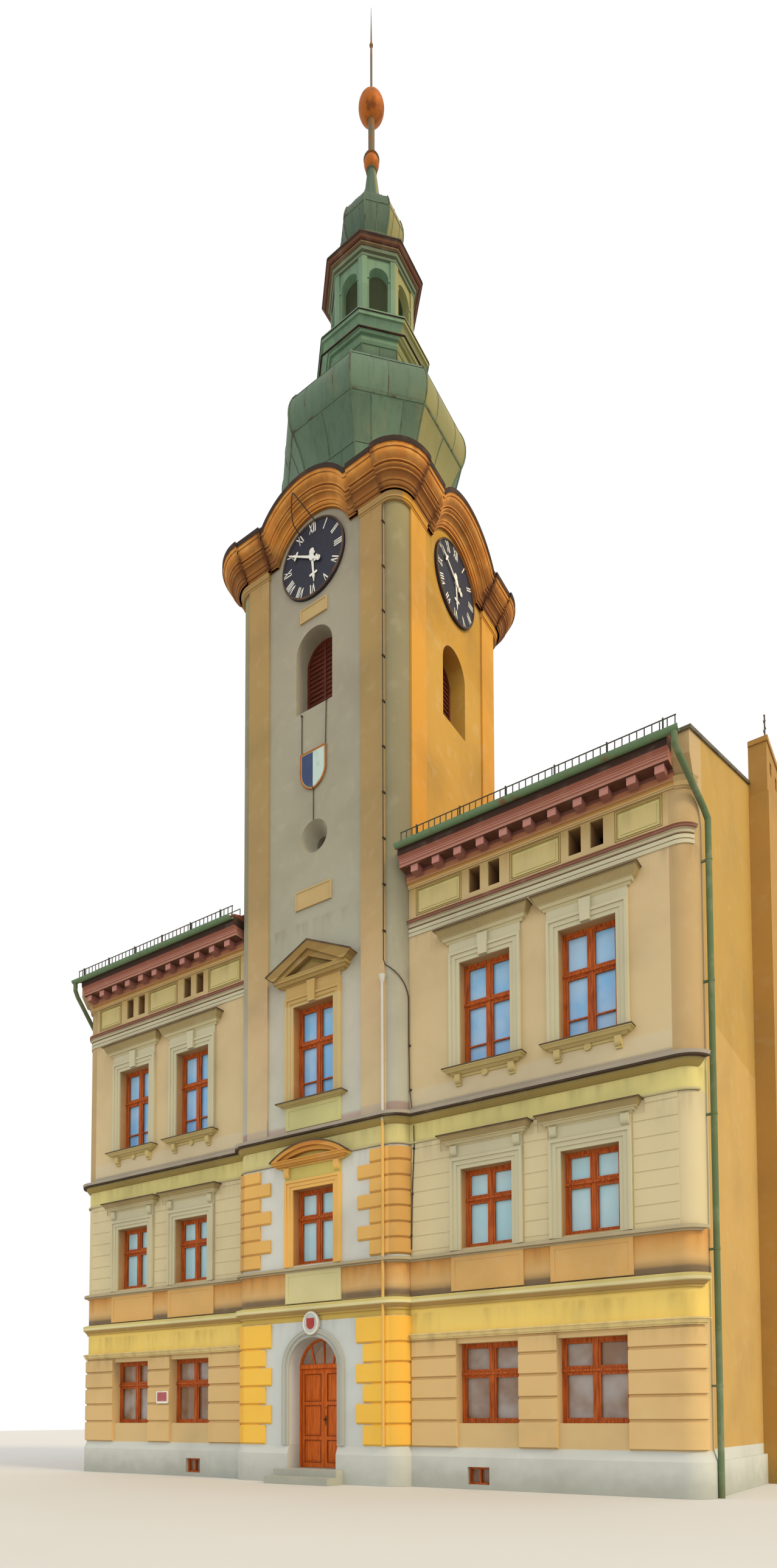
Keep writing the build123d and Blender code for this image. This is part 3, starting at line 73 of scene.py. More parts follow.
class TownhallSettings(bpy.types.PropertyGroup):
    """Sizes and colours of the dressing that a user may change"""
    tile_width: FloatProperty(name="Tile width", description="Width of a roof tile", default=0.24,
                              min=0.1, max=0.5, unit="LENGTH")
    tile_course: FloatProperty(name="Tile course",
                               description="Height of a course of tiles up the slope", default=0.33,
                               min=0.15, max=0.6, unit="LENGTH")
    numeral_height: FloatProperty(name="Numeral height", description="Height of the dials' numerals",
                                  default=0.235, min=0.1, max=0.3, unit="LENGTH")
    slat_pitch: FloatProperty(name="Slat pitch", description="Distance between the belfry's slats",
                              default=0.115, min=0.05, max=0.3, unit="LENGTH")
    wire_radius: FloatProperty(name="Wire radius", description="Radius of the lightning conductor",
                               default=0.011, min=0.003, max=0.03, unit="LENGTH")
    cornice_steps: IntProperty(name="Cornice steps",
                               description="Points in each curve of the tower's cornice", default=7,
                               min=3, max=16)
    weathering: FloatProperty(name="Weathering", description="Strength of stains and faded patches",
                              default=1.0, min=0.0, max=2.0, subtype="FACTOR")
    copper: FloatVectorProperty(name="Copper", description="Linear colour of the weathered copper",
                                default=(0.078, 0.132, 0.08), min=0, max=1, subtype="COLOR", size=3)


def linear(colour):
    """The linear colour of an sRGB one given in 0 to 255: above 0.04045, ((c + 0.055) / 1.055) ** 2.4."""
    parts = [c / 255 for c in colour]
    return tuple(c / 12.92 if c <= 0.04045 else ((c + 0.055) / 1.055) ** 2.4 for c in parts)


def scaled(colour, share):
    """A linear colour times a share, at most white."""
    return tuple(min(1.0, share * c) for c in colour)


class Signal:
    """The value of a socket in a material; arithmetic on it adds Math nodes."""

    def __init__(self, finish, socket):
        self.finish = finish
        self.socket = socket

    def math(self, operation, *values):
        return self.finish.add("ShaderNodeMath", {"operation": operation}, dict(enumerate(values)))

    def __add__(self, other):
        return self.math("ADD", self, other)

    def __radd__(self, other):
        return self.math("ADD", other, self)

    def __sub__(self, other):
        return self.math("SUBTRACT", self, other)

    def __rsub__(self, other):
        return self.math("SUBTRACT", other, self)

    def __mul__(self, other):
        return self.math("MULTIPLY", self, other)

    def __rmul__(self, other):
        return self.math("MULTIPLY", other, self)

    def __truediv__(self, other):
        return self.math("DIVIDE", self, other)

    def __abs__(self):
        return self.math("ABSOLUTE", self)

    def output(self, name):
        """Another output of the node that this value comes from."""
        return Signal(self.finish, self.socket.node.outputs[name])


class Finish:
    """A material whose node tree is written as expressions."""

    def __init__(self, name):
        self.material = bpy.data.materials.new(name)
        self.material.use_nodes = True
        self.tree = self.material.node_tree
        self.tree.nodes.clear()
        self.place = self.add("ShaderNodeTexCoord", {}, {}, "Object")
        self.x = self.add("ShaderNodeSeparateXYZ", {}, {0: self.place})
        self.y, self.z = self.x.output("Y"), self.x.output("Z")
        self.worn = bpy.context.scene.townhall.weathering

    def add(self, kind, settings, values, output=0):
        """A node of a kind: its settings first, then the value or link of each socket."""
        node = self.tree.nodes.new(kind)
        for key, value in settings.items():
            if key == "stops":
                ramp = node.color_ramp
                ramp.interpolation = value[0]
                while len(ramp.elements) < len(value[1]):
                    ramp.elements.new(0.5)
                for element, (position, colour) in zip(ramp.elements, value[1]):
                    element.position = position
                    element.color = (*colour, 1)
            else:
                setattr(node, key, value)
        for slot, value in values.items():
            if isinstance(value, Signal):
                self.tree.links.new(value.socket, node.inputs[slot])
            elif isinstance(value, tuple) and node.inputs[slot].type == "RGBA":
                node.inputs[slot].default_value = (*value[:3], 1)
            else:
                node.inputs[slot].default_value = value
        return Signal(self, node.outputs[output])

    def noise(self, scale, detail=3.0, stretch=(1, 1, 1)):
        """Noise from 0 to 1, finer as the scale grows."""
        point = self.add("ShaderNodeMapping", {}, {"Vector": self.place, "Scale": stretch})
        return self.add("ShaderNodeTexNoise", {}, {"Vector": point, "Scale": scale, "Detail": detail})

    def rise(self, value, low, high):
        """A smooth climb from 0 at low to 1 at high."""
        return self.add("ShaderNodeMapRange", {"interpolation_type": "SMOOTHSTEP"},
                        {"Value": value, "From Min": low, "From Max": high})

    def mix(self, factor, first, second):
        """The first colour where the factor is 0 and the second where it is 1."""
        return self.add("ShaderNodeMix", {"data_type": "RGBA"}, {0: factor, 6: first, 7: second}, 2)

    def ladder(self, value, rungs):
        """One colour, or colours up a scale: each rung's colour holds up to the next one, or with a third
        item runs into it."""
        if isinstance(rungs, tuple):
            return linear(rungs)
        low, high = rungs[0][0], rungs[-1][0] + 0.01
        blend = any(len(rung) > 2 for rung in rungs)
        stops, held = [], None
        for at, colour, *runs in rungs:
            if held and blend:
                stops.append((at - 0.003, held))
            stops.append((at, linear(colour)))
            held = None if runs else linear(colour)
        stops = [((at - low) / (high - low), colour) for at, colour in stops]
        share = self.add("ShaderNodeMapRange", {}, {"Value": value, "From Min": low, "From Max": high})
        kind = "LINEAR" if blend else "CONSTANT"
        return self.add("ShaderNodeValToRGB", {"stops": (kind, stops)}, {0: share})

    def below(self, ledges, reach):
        """1 just under each ledge, fading to 0 at a distance below it."""
        black, white = (0, 0, 0), (255, 255, 255)
        grey = [(-1.0, black, "runs")]
        for z in sorted(ledges):
            foot = max(z - reach, grey[-1][0] + 0.01)
            grey += [(foot, black, "runs"), (z - 0.005, white, "runs"), (z, black, "runs")]
        return self.ladder(self.z, grey)

    def speckle(self, column, row):
        """A random value for each column and row."""
        cell = self.add("ShaderNodeCombineXYZ", {}, {0: column, 1: row})
        return self.add("ShaderNodeTexWhiteNoise", {"noise_dimensions": "3D"}, {"Vector": cell})

    def inside(self, value, low, high):
        """1 where a value lies between two limits."""
        above = self.rise(value, low - 0.002, low + 0.002)
        beyond = self.rise(value, high - 0.002, high + 0.002)
        return above * (1 - beyond)

    def soffit(self):
        """1 on faces that look down."""
        facing = self.add("ShaderNodeTexCoord", {}, {}, "Normal")
        tilt = self.add("ShaderNodeSeparateXYZ", {}, {0: facing}).output("Z")
        return self.rise(0 - tilt, 0.35, 0.95)

    def done(self, colour, roughness, height=None, bump=0.3, depth=0.01, **fixed):
        """The surface shader, with a bump from a height from 0 to 1 and its depth in metres."""
        values = {"Base Color": colour, "Roughness": roughness}
        values.update({key.replace("_", " "): value for key, value in fixed.items()})
        if height is not None:
            values["Normal"] = self.add("ShaderNodeBump", {}, {"Strength": bump, "Distance": depth,
                                                               "Height": height})
        surface = self.add("ShaderNodeBsdfPrincipled", {}, values)
        sink = self.tree.nodes.new("ShaderNodeOutputMaterial")
        self.tree.links.new(surface.socket, sink.inputs["Surface"])
        return self.material


GRIME = linear((92, 76, 52))
# SHADE is the colour of the painted shade on faces that look down
SHADE = linear((76, 44, 20))
DUST = linear((222, 212, 188))
MOSS = linear((96, 98, 62))
VERDIGRIS = linear((128, 122, 84))
SUNLIT_COPPER = linear((162, 146, 76))
# CLOUD is a painted reflection of clouds in the panes
CLOUD = linear((214, 226, 232))
SOOT = linear((74, 58, 48))
LICHEN = linear((128, 124, 84))
# colour of the painted shade under the tiles and at their foot by the eaves
TILE_SHADE = linear((62, 44, 30))
SHEET_HIGH = 0.86
SHEETS_ROUND = 16
TILES_IN_SHADE = (13.86, 13.9)


def rendered(name, rungs, ledges=(), fields=(), stain=1.0):
    """Painted render: colours by height, fields of another colour between limits across and up, clouds of
    fading and dirt, rain streaks under ledges, painted shade on soffits, damp at the foot."""
    f = Finish(name)
    height = f.z + (f.noise(2.2, 4) - 0.5) * 0.01
    colour = f.ladder(height, rungs)
    axes = {"x": abs(f.x), "y": f.y}
    for axis, start, end, low, high, tints in fields:
        area = f.inside(axes[axis], start, end) * f.inside(height, low, high)
        colour = f.mix(area, colour, f.ladder(f.z, tints))
    cloud, patch = f.noise(0.55, 5), f.noise(3.1, 6)
    rain = f.rise(f.noise(4.5, 6, (1, 1, 0.14)), 0.38, 0.85)
    worn = stain * f.worn
    colour = f.mix(f.rise(cloud, 0.42, 0.78) * (0.2 * worn), colour, GRIME)
    colour = f.mix(f.rise(patch, 0.5, 0.8) * (0.09 * worn), colour, DUST)
    if ledges:
        under = f.below(ledges, 0.55)
        colour = f.mix(under * rain * (0.42 * worn), colour, GRIME)
    # painted shade: faces that look down are darkened halfway towards SHADE
    colour = f.mix(f.soffit() * 0.6, colour, f.mix(0.5, colour, SHADE))
    foot = 1 - f.rise(f.z + (patch - 0.5) * 0.5, 0.0, 0.7)
    colour = f.mix(foot * (0.35 * worn), colour, MOSS)
    grain = f.noise(55.0, 3) * 0.5 + f.noise(6.0, 4) * 0.5
    return f.done(colour, 0.88 + 0.1 * patch, grain, 0.35, 0.006)


def recessed(name, face, hollow, bright, breaks=()):
    """Painted mouldings: brown on the bed, painted shade on the soffits and at the breaks, with stains in
    clouds.
    """
    # the hollow colour serves both the stains in clouds and the painted shade
    face, hollow, bright = linear(face), linear(hollow), linear(bright)
    f = Finish(name)
    cloud, fine = f.noise(1.3, 6), f.noise(5.0, 3)
    colour = f.mix(f.rise(fine, 0.4, 0.7) * 0.6, face, bright)
    colour = f.mix(f.rise(cloud, 0.45, 0.8) * (0.7 * f.worn), colour, hollow)
    # painted shade: darker in the inside corners where the moulding breaks forward
    away = abs(f.x), abs(f.y - TOWER_MID)
    for at in breaks:
        for value in away:
            near = 1 - f.rise(abs(value - at), 0.01, 0.12)
            colour = f.mix(near * f.rise(cloud, 0.3, 0.6) * 0.8, colour, hollow)
    bed = 1 - f.rise(f.z + cloud * 0.3, CORNICE_FOOT + 0.25, CORNICE_FOOT + 0.7)
    colour = f.mix(bed * (0.6 * f.worn), colour, hollow)
    # painted shade: faces that look down are darkened towards the hollow colour
    colour = f.mix(f.soffit() * 0.9, colour, f.mix(0.72, colour, hollow))
    return f.done(colour, 0.9, fine, 0.3, 0.006)


def sheeted(name, base, spots, spot_share, metallic=0.25, rough=0.5):
    """Painted or weathered sheet metal with clouds of another tint and rain marks."""
    base, spots = linear(base), linear(spots)
    f = Finish(name)
    cloud, fine = f.noise(2.3, 6), f.noise(14.0, 4)
    rain = f.rise(f.noise(12.0, 3, (1, 1, 0.06)), 0.5, 0.8)
    colour = f.mix(f.rise(cloud, spot_share, spot_share + 0.12), base, spots)
    colour = f.mix(rain * 0.35, colour, scaled(base, 0.45))
    return f.done(colour, rough + 0.25 * fine, fine, 0.25, 0.004, Metallic=metallic)


def copper(name, base, pale, mid=TOWER_MID):
    """Weathered copper, from linear colours: each sheet of a course has its own tint, with pale runs and
    brown edges, and painted sunlight warms the side to the low sun."""
    f = Finish(name)
    course = f.add("ShaderNodeMath", {"operation": "FLOOR"}, {0: f.z / SHEET_HIGH})
    angle = f.add("ShaderNodeMath", {"operation": "ARCTAN2"}, {0: f.y - mid, 1: f.x})
    turn = angle * (SHEETS_ROUND / (2 * math.pi))
    sector = f.add("ShaderNodeMath", {"operation": "FLOOR"}, {0: turn + course * 0.5})
    tint = f.speckle(course, sector)
    cloud, fine = f.noise(1.6, 6), f.noise(16.0, 4)
    run = f.rise(f.noise(8.0, 4, (1, 1, 0.07)), 0.45, 0.8)
    colour = f.mix(tint * 0.55, base, pale)
    colour = f.mix(run * 0.4, colour, scaled(base, 0.55))
    colour = f.mix(f.rise(cloud, 0.55, 0.8) * 0.4, colour, VERDIGRIS)
    # painted sunlight: faces towards +x and the low sun turn to a warm sunlit copper
    painted_sun = f.rise(f.x * 0.43 - abs(f.y - mid), -0.04, 0.06)
    colour = f.mix(painted_sun * (0.4 + 0.4 * cloud), colour, SUNLIT_COPPER)
    return f.done(colour, 0.55 + 0.25 * fine, cloud * 0.6 + fine * 0.4, 0.35, 0.012, Metallic=0.15)


def timber(name, base, dark, along):
    """Varnished timber with grain along an axis, darker where the varnish has gone."""
    base, dark = linear(base), linear(dark)
    f = Finish(name)
    stretch = tuple(0.06 if axis == along else 1.0 for axis in "xyz")
    grain = f.noise(42.0, 6, stretch)
    worn = f.noise(2.0, 4)
    colour = f.mix(f.rise(grain, 0.35, 0.7), base, dark)
    colour = f.mix(f.rise(worn, 0.5, 0.8) * 0.5, colour, scaled(dark, 0.6))
    return f.done(colour, 0.55 + 0.25 * worn, grain, 0.35, 0.003, Specular_IOR_Level=0.25)


def glass(name, rungs):
    """Panes with a painted reflection of the sky and its clouds, each with its own slight wave."""
    f = Finish(name)
    # painted reflection: sky colours by height, with pale clouds
    sky = f.ladder(f.z, rungs)
    cloud = f.rise(f.noise(1.1, 3), 0.35, 0.7)
    colour = f.mix(cloud * 0.35, sky, CLOUD)
    return f.done(colour, 0.06, f.noise(1.6, 2), 0.12, 0.02, IOR=1.5)


def tiles(name, base, dark):
    """Fired clay: every tile its own tint, with lichen and soot, and painted shade underneath and at the
    eaves.
    """
    base, dark = linear(base), linear(dark)
    f = Finish(name)
    s = bpy.context.scene.townhall
    column = f.add("ShaderNodeMath", {"operation": "FLOOR"}, {0: f.x / s.tile_width})
    row = f.add("ShaderNodeMath", {"operation": "FLOOR"}, {0: abs(f.y - RIDGE_Y) / s.tile_course})
    colour = f.mix(f.speckle(column, row) * 0.8, base, dark)
    colour = f.mix(f.rise(f.noise(1.3, 6), 0.5, 0.75) * 0.6, colour, SOOT)
    colour = f.mix(f.rise(f.noise(9.0, 6), 0.6, 0.72) * 0.5, colour, LICHEN)
    # painted shade: tiles that look down, and the low courses at the eaves, take the shade colour
    colour = f.mix(f.soffit(), colour, TILE_SHADE)
    colour = f.mix(f.rise(f.z, *TILES_IN_SHADE), TILE_SHADE, colour)
    return f.done(colour, 0.85, f.noise(30.0, 4), 0.3, 0.004)


def enamel(name, base, wear, rough=0.35, metallic=0.0):
    """Enamel or gilding with scuffs."""
    base, wear = linear(base), linear(wear)
    f = Finish(name)
    scuff = f.noise(5.0, 6)
    colour = f.mix(f.rise(scuff, 0.5, 0.72) * 0.7, base, wear)
    return f.done(colour, rough + 0.25 * scuff, scuff, 0.15, 0.003, Metallic=metallic)


def use(material, *nodes):
    """Gives CAD nodes a material."""
    for node in nodes:
        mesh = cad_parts[node].data
        mesh.materials.clear()
        mesh.materials.append(material)


# Forms


def ring_faces(along, around, closed):
    """Quads between neighbouring sections of a tube of points, with a cap on each end unless it closes on
    itself."""
    grid = np.arange(along * around).reshape(along, around)
    after = np.roll(grid, -1, 0) if closed else grid[1:]
    first = grid if closed else grid[:-1]
    corners = [first, after, np.roll(after, -1, 1), np.roll(first, -1, 1)]
    quads = np.stack(corners, -1).reshape(-1, 4).tolist()
    return quads if closed else quads + [grid[0].tolist(), grid[-1, ::-1].tolist()]


def swept(path, section, closed=False):
    """A closed section carried along a flat path: at each path point the section's reach is laid along the
    mitred right-hand normal, which is the sum of the two normals over one plus their cosine, and its height
    off the plane."""
    path, section = np.asarray(path, float), np.asarray(section, float)
    ahead, behind = np.roll(path, -1, 0) - path, path - np.roll(path, 1, 0)
    if not closed:
        ahead[-1], behind[0] = behind[-1], ahead[0]
    ahead /= np.linalg.norm(ahead, axis=1, keepdims=True)
    behind /= np.linalg.norm(behind, axis=1, keepdims=True)
    normals = (ahead + behind)[:, ::-1] * (1, -1)
    mitre = normals / (1 + (ahead * behind).sum(1, keepdims=True))
    flat = path[:, None] + mitre[:, None] * section[None, :, :1]
    height = np.broadcast_to(section[:, 1], flat.shape[:2])
    return np.dstack([flat, height]), ring_faces(len(path), len(section), closed)


def moulding(path, section, wall, closed=False):
    """A section swept along a path of x and z on a front wall plane, its height outwards."""
    points, faces = swept(path, section, closed)
    return np.stack([points[..., 0], wall - points[..., 2], points[..., 1]], -1), faces


def quarter(points, turns):
    """Points turned by quarter turns about the tower's middle."""
    c, s = ((1, 0), (0, 1), (-1, 0), (0, -1))[turns % 4]
    x, y = points[..., 0], points[..., 1] - TOWER_MID
    return np.stack([c * x - s * y, s * x + c * y + TOWER_MID, points[..., 2]], -1)


def to_rear(points):
    """Points turned by half a turn about the middle of the footprint."""
    return np.stack([-points[..., 0], WALL + REAR - points[..., 1], points[..., 2]], -1)


def tube(path, radius, sides=8, across=(0, 1, 0)):
    """A round rod along points: each ring lies in the plane of the mean tangent's two normals, by
    cosine and sine."""
    path = np.asarray(path, float)
    tangent = np.gradient(path, axis=0)
    tangent /= np.linalg.norm(tangent, axis=1, keepdims=True)
    side = np.cross(tangent, np.asarray(across, float))
    side /= np.linalg.norm(side, axis=1, keepdims=True)
    other = np.cross(side, tangent)
    angle = np.arange(sides) * 2 * np.pi / sides
    radius = np.broadcast_to(np.asarray(radius, float), len(path))[:, None, None]
    circle = side[:, None] * np.cos(angle)[:, None] + other[:, None] * np.sin(angle)[:, None]
    return path[:, None] + radius * circle, ring_faces(len(path), sides, False)


def lathed(profile, centre, axis="z", sides=24):
    """A profile of radius and height turned about an axis: radius times cosine and sine, and the height."""
    profile = np.asarray(profile, float)
    angle = np.arange(sides) * 2 * np.pi / sides
    a = profile[:, :1] * np.cos(angle)
    b = profile[:, :1] * np.sin(angle)
    h = np.broadcast_to(profile[:, 1:], a.shape)
    order = {"z": (a, b, h), "y": (a, -h, b), "x": (h, a, b)}[axis]
    return np.stack(order, -1) + np.asarray(centre, float), ring_faces(len(profile), sides, False)


def prisms(corners, push):
    """Closed prisms: each outline of corners, and the same moved along a push."""
    corners = np.asarray(corners, float)
    count, k = corners.shape[:2]
    push = np.broadcast_to(np.asarray(push, float).reshape(-1, 1, 3), (count, k, 3))
    points = np.stack([corners, corners + push], 1)
    near = np.arange(count * 2 * k).reshape(count, 2, k)
    after = np.roll(near, -1, 2)
    sides = np.stack([near[:, 0], after[:, 0], after[:, 1], near[:, 1]], -1)
    return points, near[:, 0].tolist() + near[:, 1, ::-1].tolist() + sides.reshape(-1, 4).tolist()


def plate(outline, wall, thick):
    """A flat piece of an outline of x and z, from a front wall plane outwards."""
    outline = np.asarray(outline, float)
    return prisms(np.insert(outline, 1, wall, axis=1)[None], (0, -thick, 0))


def bars(*limits):
    """Boxes from low and high x, y and z, each one number or a number for every box."""
    x0, x1, y0, y1, z0, z1 = np.broadcast_arrays(*map(np.atleast_1d, limits))
    corners = np.stack([np.stack([x0, y0, z0], -1), np.stack([x1, y0, z0], -1),
                        np.stack([x1, y0, z1], -1), np.stack([x0, y0, z1], -1)], 1)
    return prisms(corners, np.stack([0 * y0, y1 - y0, 0 * y0], -1))


def blanket(top, bottom):
    """A closed slab between two grids of points: both faces, and a wall along the border."""
    n, m = top.shape[:2]
    grid = np.arange(n * m).reshape(n, m)
    upper = np.stack([grid[:-1, :-1], grid[1:, :-1], grid[1:, 1:], grid[:-1, 1:]], -1).reshape(-1, 4)
    border = np.concatenate([grid[:-1, 0], grid[-1, :-1], grid[:0:-1, -1], grid[0, :0:-1]])
    after = np.roll(border, -1)
    walls = np.stack([border, border + n * m, after + n * m, after], -1)
    return np.stack([top, bottom]), np.concatenate([upper, upper[:, ::-1] + n * m, walls]).tolist()


def arc(first, middle, last, count):
    """Points on the circle through three points: its centre is where the perpendicular bisectors meet."""
    a, b, c = (np.asarray(p, float) for p in (first, middle, last))
    rows = 2 * np.array([b - a, c - a])
    centre = np.linalg.solve(rows, [(b @ b) - (a @ a), (c @ c) - (a @ a)])
    start, through, end = (math.atan2(*(p - centre)[::-1]) for p in (a, b, c))
    sweep = (end - start) % (2 * math.pi)
    if (through - start) % (2 * math.pi) > sweep:
        sweep -= 2 * math.pi
    angle = start + sweep * np.linspace(0, 1, count)
    return centre + np.linalg.norm(a - centre) * np.stack([np.cos(angle), np.sin(angle)], -1)


def chained(start, *arcs):
    """Points along arcs that meet: each arc is given by its middle, its end and its count of points."""
    points = [start]
    for middle, end, count in arcs:
        points.extend(arc(points[-1], middle, end, count)[1:])
    return np.array(points)


class Piece:
    """Closed forms gathered into one mesh object."""

    def __init__(self):
        self.points = []
        self.faces = []
        self.count = 0

    def add(self, form, place=None):
        points, faces = form
        points = np.asarray(points, float)
        points = (place(points) if place else points).reshape(-1, 3)
        self.faces += [[i + self.count for i in face] for face in faces]
        self.points.append(points)
        self.count += len(points)
        return self

    def make(self, name, slot, material, body="house", smooth=0.0):
        """Merges doubles, turns the faces outwards and rides on a body; edges blunter than an angle are
        smooth."""
        mesh = bpy.data.meshes.new(name)
        mesh.from_pydata(np.vstack(self.points).tolist(), [], self.faces)
        shell = bmesh.new()
        shell.from_mesh(mesh)
        bmesh.ops.remove_doubles(shell, verts=shell.verts, dist=1e-5)
        bmesh.ops.recalc_face_normals(shell, faces=shell.faces)
        if smooth:
            for face in shell.faces:
                face.smooth = True
            for edge in shell.edges:
                edge.smooth = edge.calc_face_angle(3.0) < smooth
        shell.to_mesh(mesh)
        shell.free()
        if not len(mesh.polygons):
            raise RuntimeError(name + " has no faces")
        mesh.materials.append(material)
        piece = bpy.data.objects.new(name, mesh)
        bpy.context.scene.collection.objects.link(piece)
        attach(piece, body)
        return piece


# Stage and finishes


class TOWNHALL_OT_stage(bpy.types.Operator):
    """Floor, light and camera"""
    bl_idname = "townhall.stage"
    bl_label = "Stage"

    def execute(self, context):
        scene = context.scene
        scene.view_settings.view_transform = "Standard"
        edge = np.linspace(-FLOOR_HALF, FLOOR_HALF, 3)
        x, y = np.meshgrid(edge, edge, indexing="ij")
        points, faces = blanket(np.stack([x, y, 0 * x - 0.002], -1), np.stack([x, y, 0 * x - 0.1], -1))
        mesh = bpy.data.meshes.new("floor")
        mesh.from_pydata(points.reshape(-1, 3).tolist(), [], faces)
        floor = bpy.data.objects.new("floor", mesh)
        scene.collection.objects.link(floor)
        f = Finish("pale_floor")
        tone = f.mix(f.noise(0.2), linear((206, 205, 200)), linear((214, 212, 208)))
        mesh.materials.append(f.done(tone, 0.9))
        camera = bpy.data.objects.new("camera", bpy.data.cameras.new("camera"))
        scene.collection.objects.link(camera)
        camera.data.lens = FOCAL_PIXELS * SENSOR_MM / PHOTO_LONG_SIDE
        camera.data.sensor_width = SENSOR_MM
        camera.data.shift_x, camera.data.shift_y = LENS_SHIFT
        camera.data.clip_end = 400
        view = Matrix.Translation(CAMERA_AT)
        for angle, axis in CAMERA_TURNS:
            view = view @ Matrix.Rotation(math.radians(angle), 4, axis)
        camera.matrix_world = view
        scene.camera = camera
        sun = bpy.data.objects.new("low_sun", bpy.data.lights.new("low_sun", "SUN"))
        scene.collection.objects.link(sun)
        sun.data.energy = 1.6
        sun.data.angle = math.radians(16)
        sun.data.color = (1.0, 0.78, 0.42)
        sun.rotation_euler = (math.radians(58), 0, math.radians(84))
        world = bpy.data.worlds.new("pale_sky")
        world.use_nodes = True
        scene.world = world
        world.node_tree.nodes["Background"].inputs["Color"].default_value = (1, 1, 1, 1)
        return {"FINISHED"}


LEDGES = (3.7, 4.82, 7.4, 7.85, 12.03, 13.1)
PLINTH = 0.85
OPENING_HALF = 0.62
LOWER_OPENING = (4.98, 6.69)
UPPER_OPENING = (8.8, 11.12)

# A limit beyond the building
OUT = 99


class TOWNHALL_OT_walls(bpy.types.Operator):
    """Painted render of the walls, plinth and piers"""
    bl_idname = "townhall.walls"
    bl_label = "Walls"

    def execute(self, context):
        plinth = (200, 204, 198)
        zone = [(4.08, (124, 104, 78)), (4.22, (170, 138, 92), "runs"), (4.36, (212, 172, 112), "runs"),
                (4.6, (212, 162, 92), "runs"), (4.8, (206, 146, 76))]
        house = [(0.0, plinth), (PLINTH, (212, 184, 130)), (3.26, (238, 208, 112)), *zone,
                 (4.9, (208, 194, 154)), (7.44, (214, 202, 130)), (8.1, (168, 158, 138)),
                 (8.25, (208, 192, 156)), (8.6, (208, 187, 143), "runs"), (11.3, (206, 182, 138)),
                 (12.43, (200, 176, 130), "runs"), (13.05, (190, 162, 104))]
        panel, jamb = (204, 194, 130), (150, 112, 66)
        reveal = (182, 144, 94)
        reveals = [("x", axis - OPENING_HALF, axis + OPENING_HALF, low, high, reveal)
                   for axis in WINDOW_AXES for low, high in (LOWER_OPENING, UPPER_OPENING)]
        fields = [*reveals, ("y", WALL + 0.012, WALL + 0.04, 12.5, 13.06, panel),
                  ("y", WALL + 0.04, OUT, 12.5, 13.1, jamb),
                  ("x", 8.14, OUT, 8.1, OUT, (184, 156, 110))]
        use(rendered("wing_wall_finish", house, LEDGES, fields), "front_walls")
        rear = [(0.0, plinth), (PLINTH, (208, 190, 148)), (8.1, (208, 187, 143)), (13.3, (200, 164, 108))]
        use(rendered("rear_wall_finish", rear, LEDGES), "rear_wall")
        # painted sunlight: the side walls are tinted golden for the low warm sun on them
        side = [(0.0, plinth), (PLINTH, (190, 154, 84)), (9.0, (180, 144, 66))]
        use(rendered("side_wall_finish", side, (16.0,)), "side_walls")
        stack = [(0.0, (176, 134, 64)), (15.6, (168, 126, 58))]
        use(rendered("stack_finish", stack, (15.6, 16.8)), "side_stacks")
        courses = rendered("course_finish", (211, 197, 156), (7.4,))
        use(courses, "wing_courses")
        piers = [(0.0, (217, 184, 126)), (3.11, (222, 200, 138))]
        use(rendered("pier_finish", piers, (3.26,)), "rusticated_piers")
        pale = (206, 212, 208)
        base = [(0.0, plinth), (PLINTH, pale), (3.66, (200, 172, 86))]
        use(rendered("tower_base_finish", base, (3.7,), stain=0.7), "tower_base_piers", "doorway_arch")
        shaft = [(0.0, plinth), (PLINTH, pale), (3.66, (200, 172, 86)), *zone, (4.9, (212, 214, 205)),
                 (7.44, (208, 198, 134)), (8.1, (184, 164, 152)), (8.33, (196, 197, 181), "runs"),
                 (10.6, (189, 184, 167), "runs"), (12.4, (168, 167, 147), "runs"),
                 (14.5, (159, 155, 134), "runs"), (22.0, (158, 150, 130))]
        # painted shade: the round corners beyond x 2.03 are greyer
        column = [(8.1, (160, 140, 130)), (8.33, (176, 175, 158), "runs"),
                  (10.6, (172, 168, 148), "runs"), (12.4, (158, 153, 128), "runs"),
                  (14.0, (134, 129, 102), "runs"), (20.0, (138, 129, 97), "runs"),
                  (22.0, (148, 138, 96))]
        ochre = (180, 126, 70)
        fields = [("x", 2.03, OUT, 8.1, OUT, column), ("x", -1.0, OPENING_HALF, 4.98, 6.8, ochre),
                  ("x", -1.0, OPENING_HALF, *UPPER_OPENING, ochre)]
        use(rendered("tower_wall_finish", shaft, (*LEDGES, CORNICE_FOOT), fields, 1.1), "tower_front_wall")
        # painted sunlight: the tower's side and rear walls are tinted golden for the low warm sun
        gold = [(0.0, plinth), (4.0, (196, 158, 84)), (14.0, (196, 152, 62)), (20.0, (194, 146, 48))]
        use(rendered("tower_side_finish", gold, (CORNICE_FOOT,), stain=1.5), "tower_side_walls",
            "tower_rear_wall")
        boards = timber("floor_finish", (150, 120, 84), (112, 84, 54), "x")
        use(boards, "wing_floors", "middle_floors")
        return {"FINISHED"}


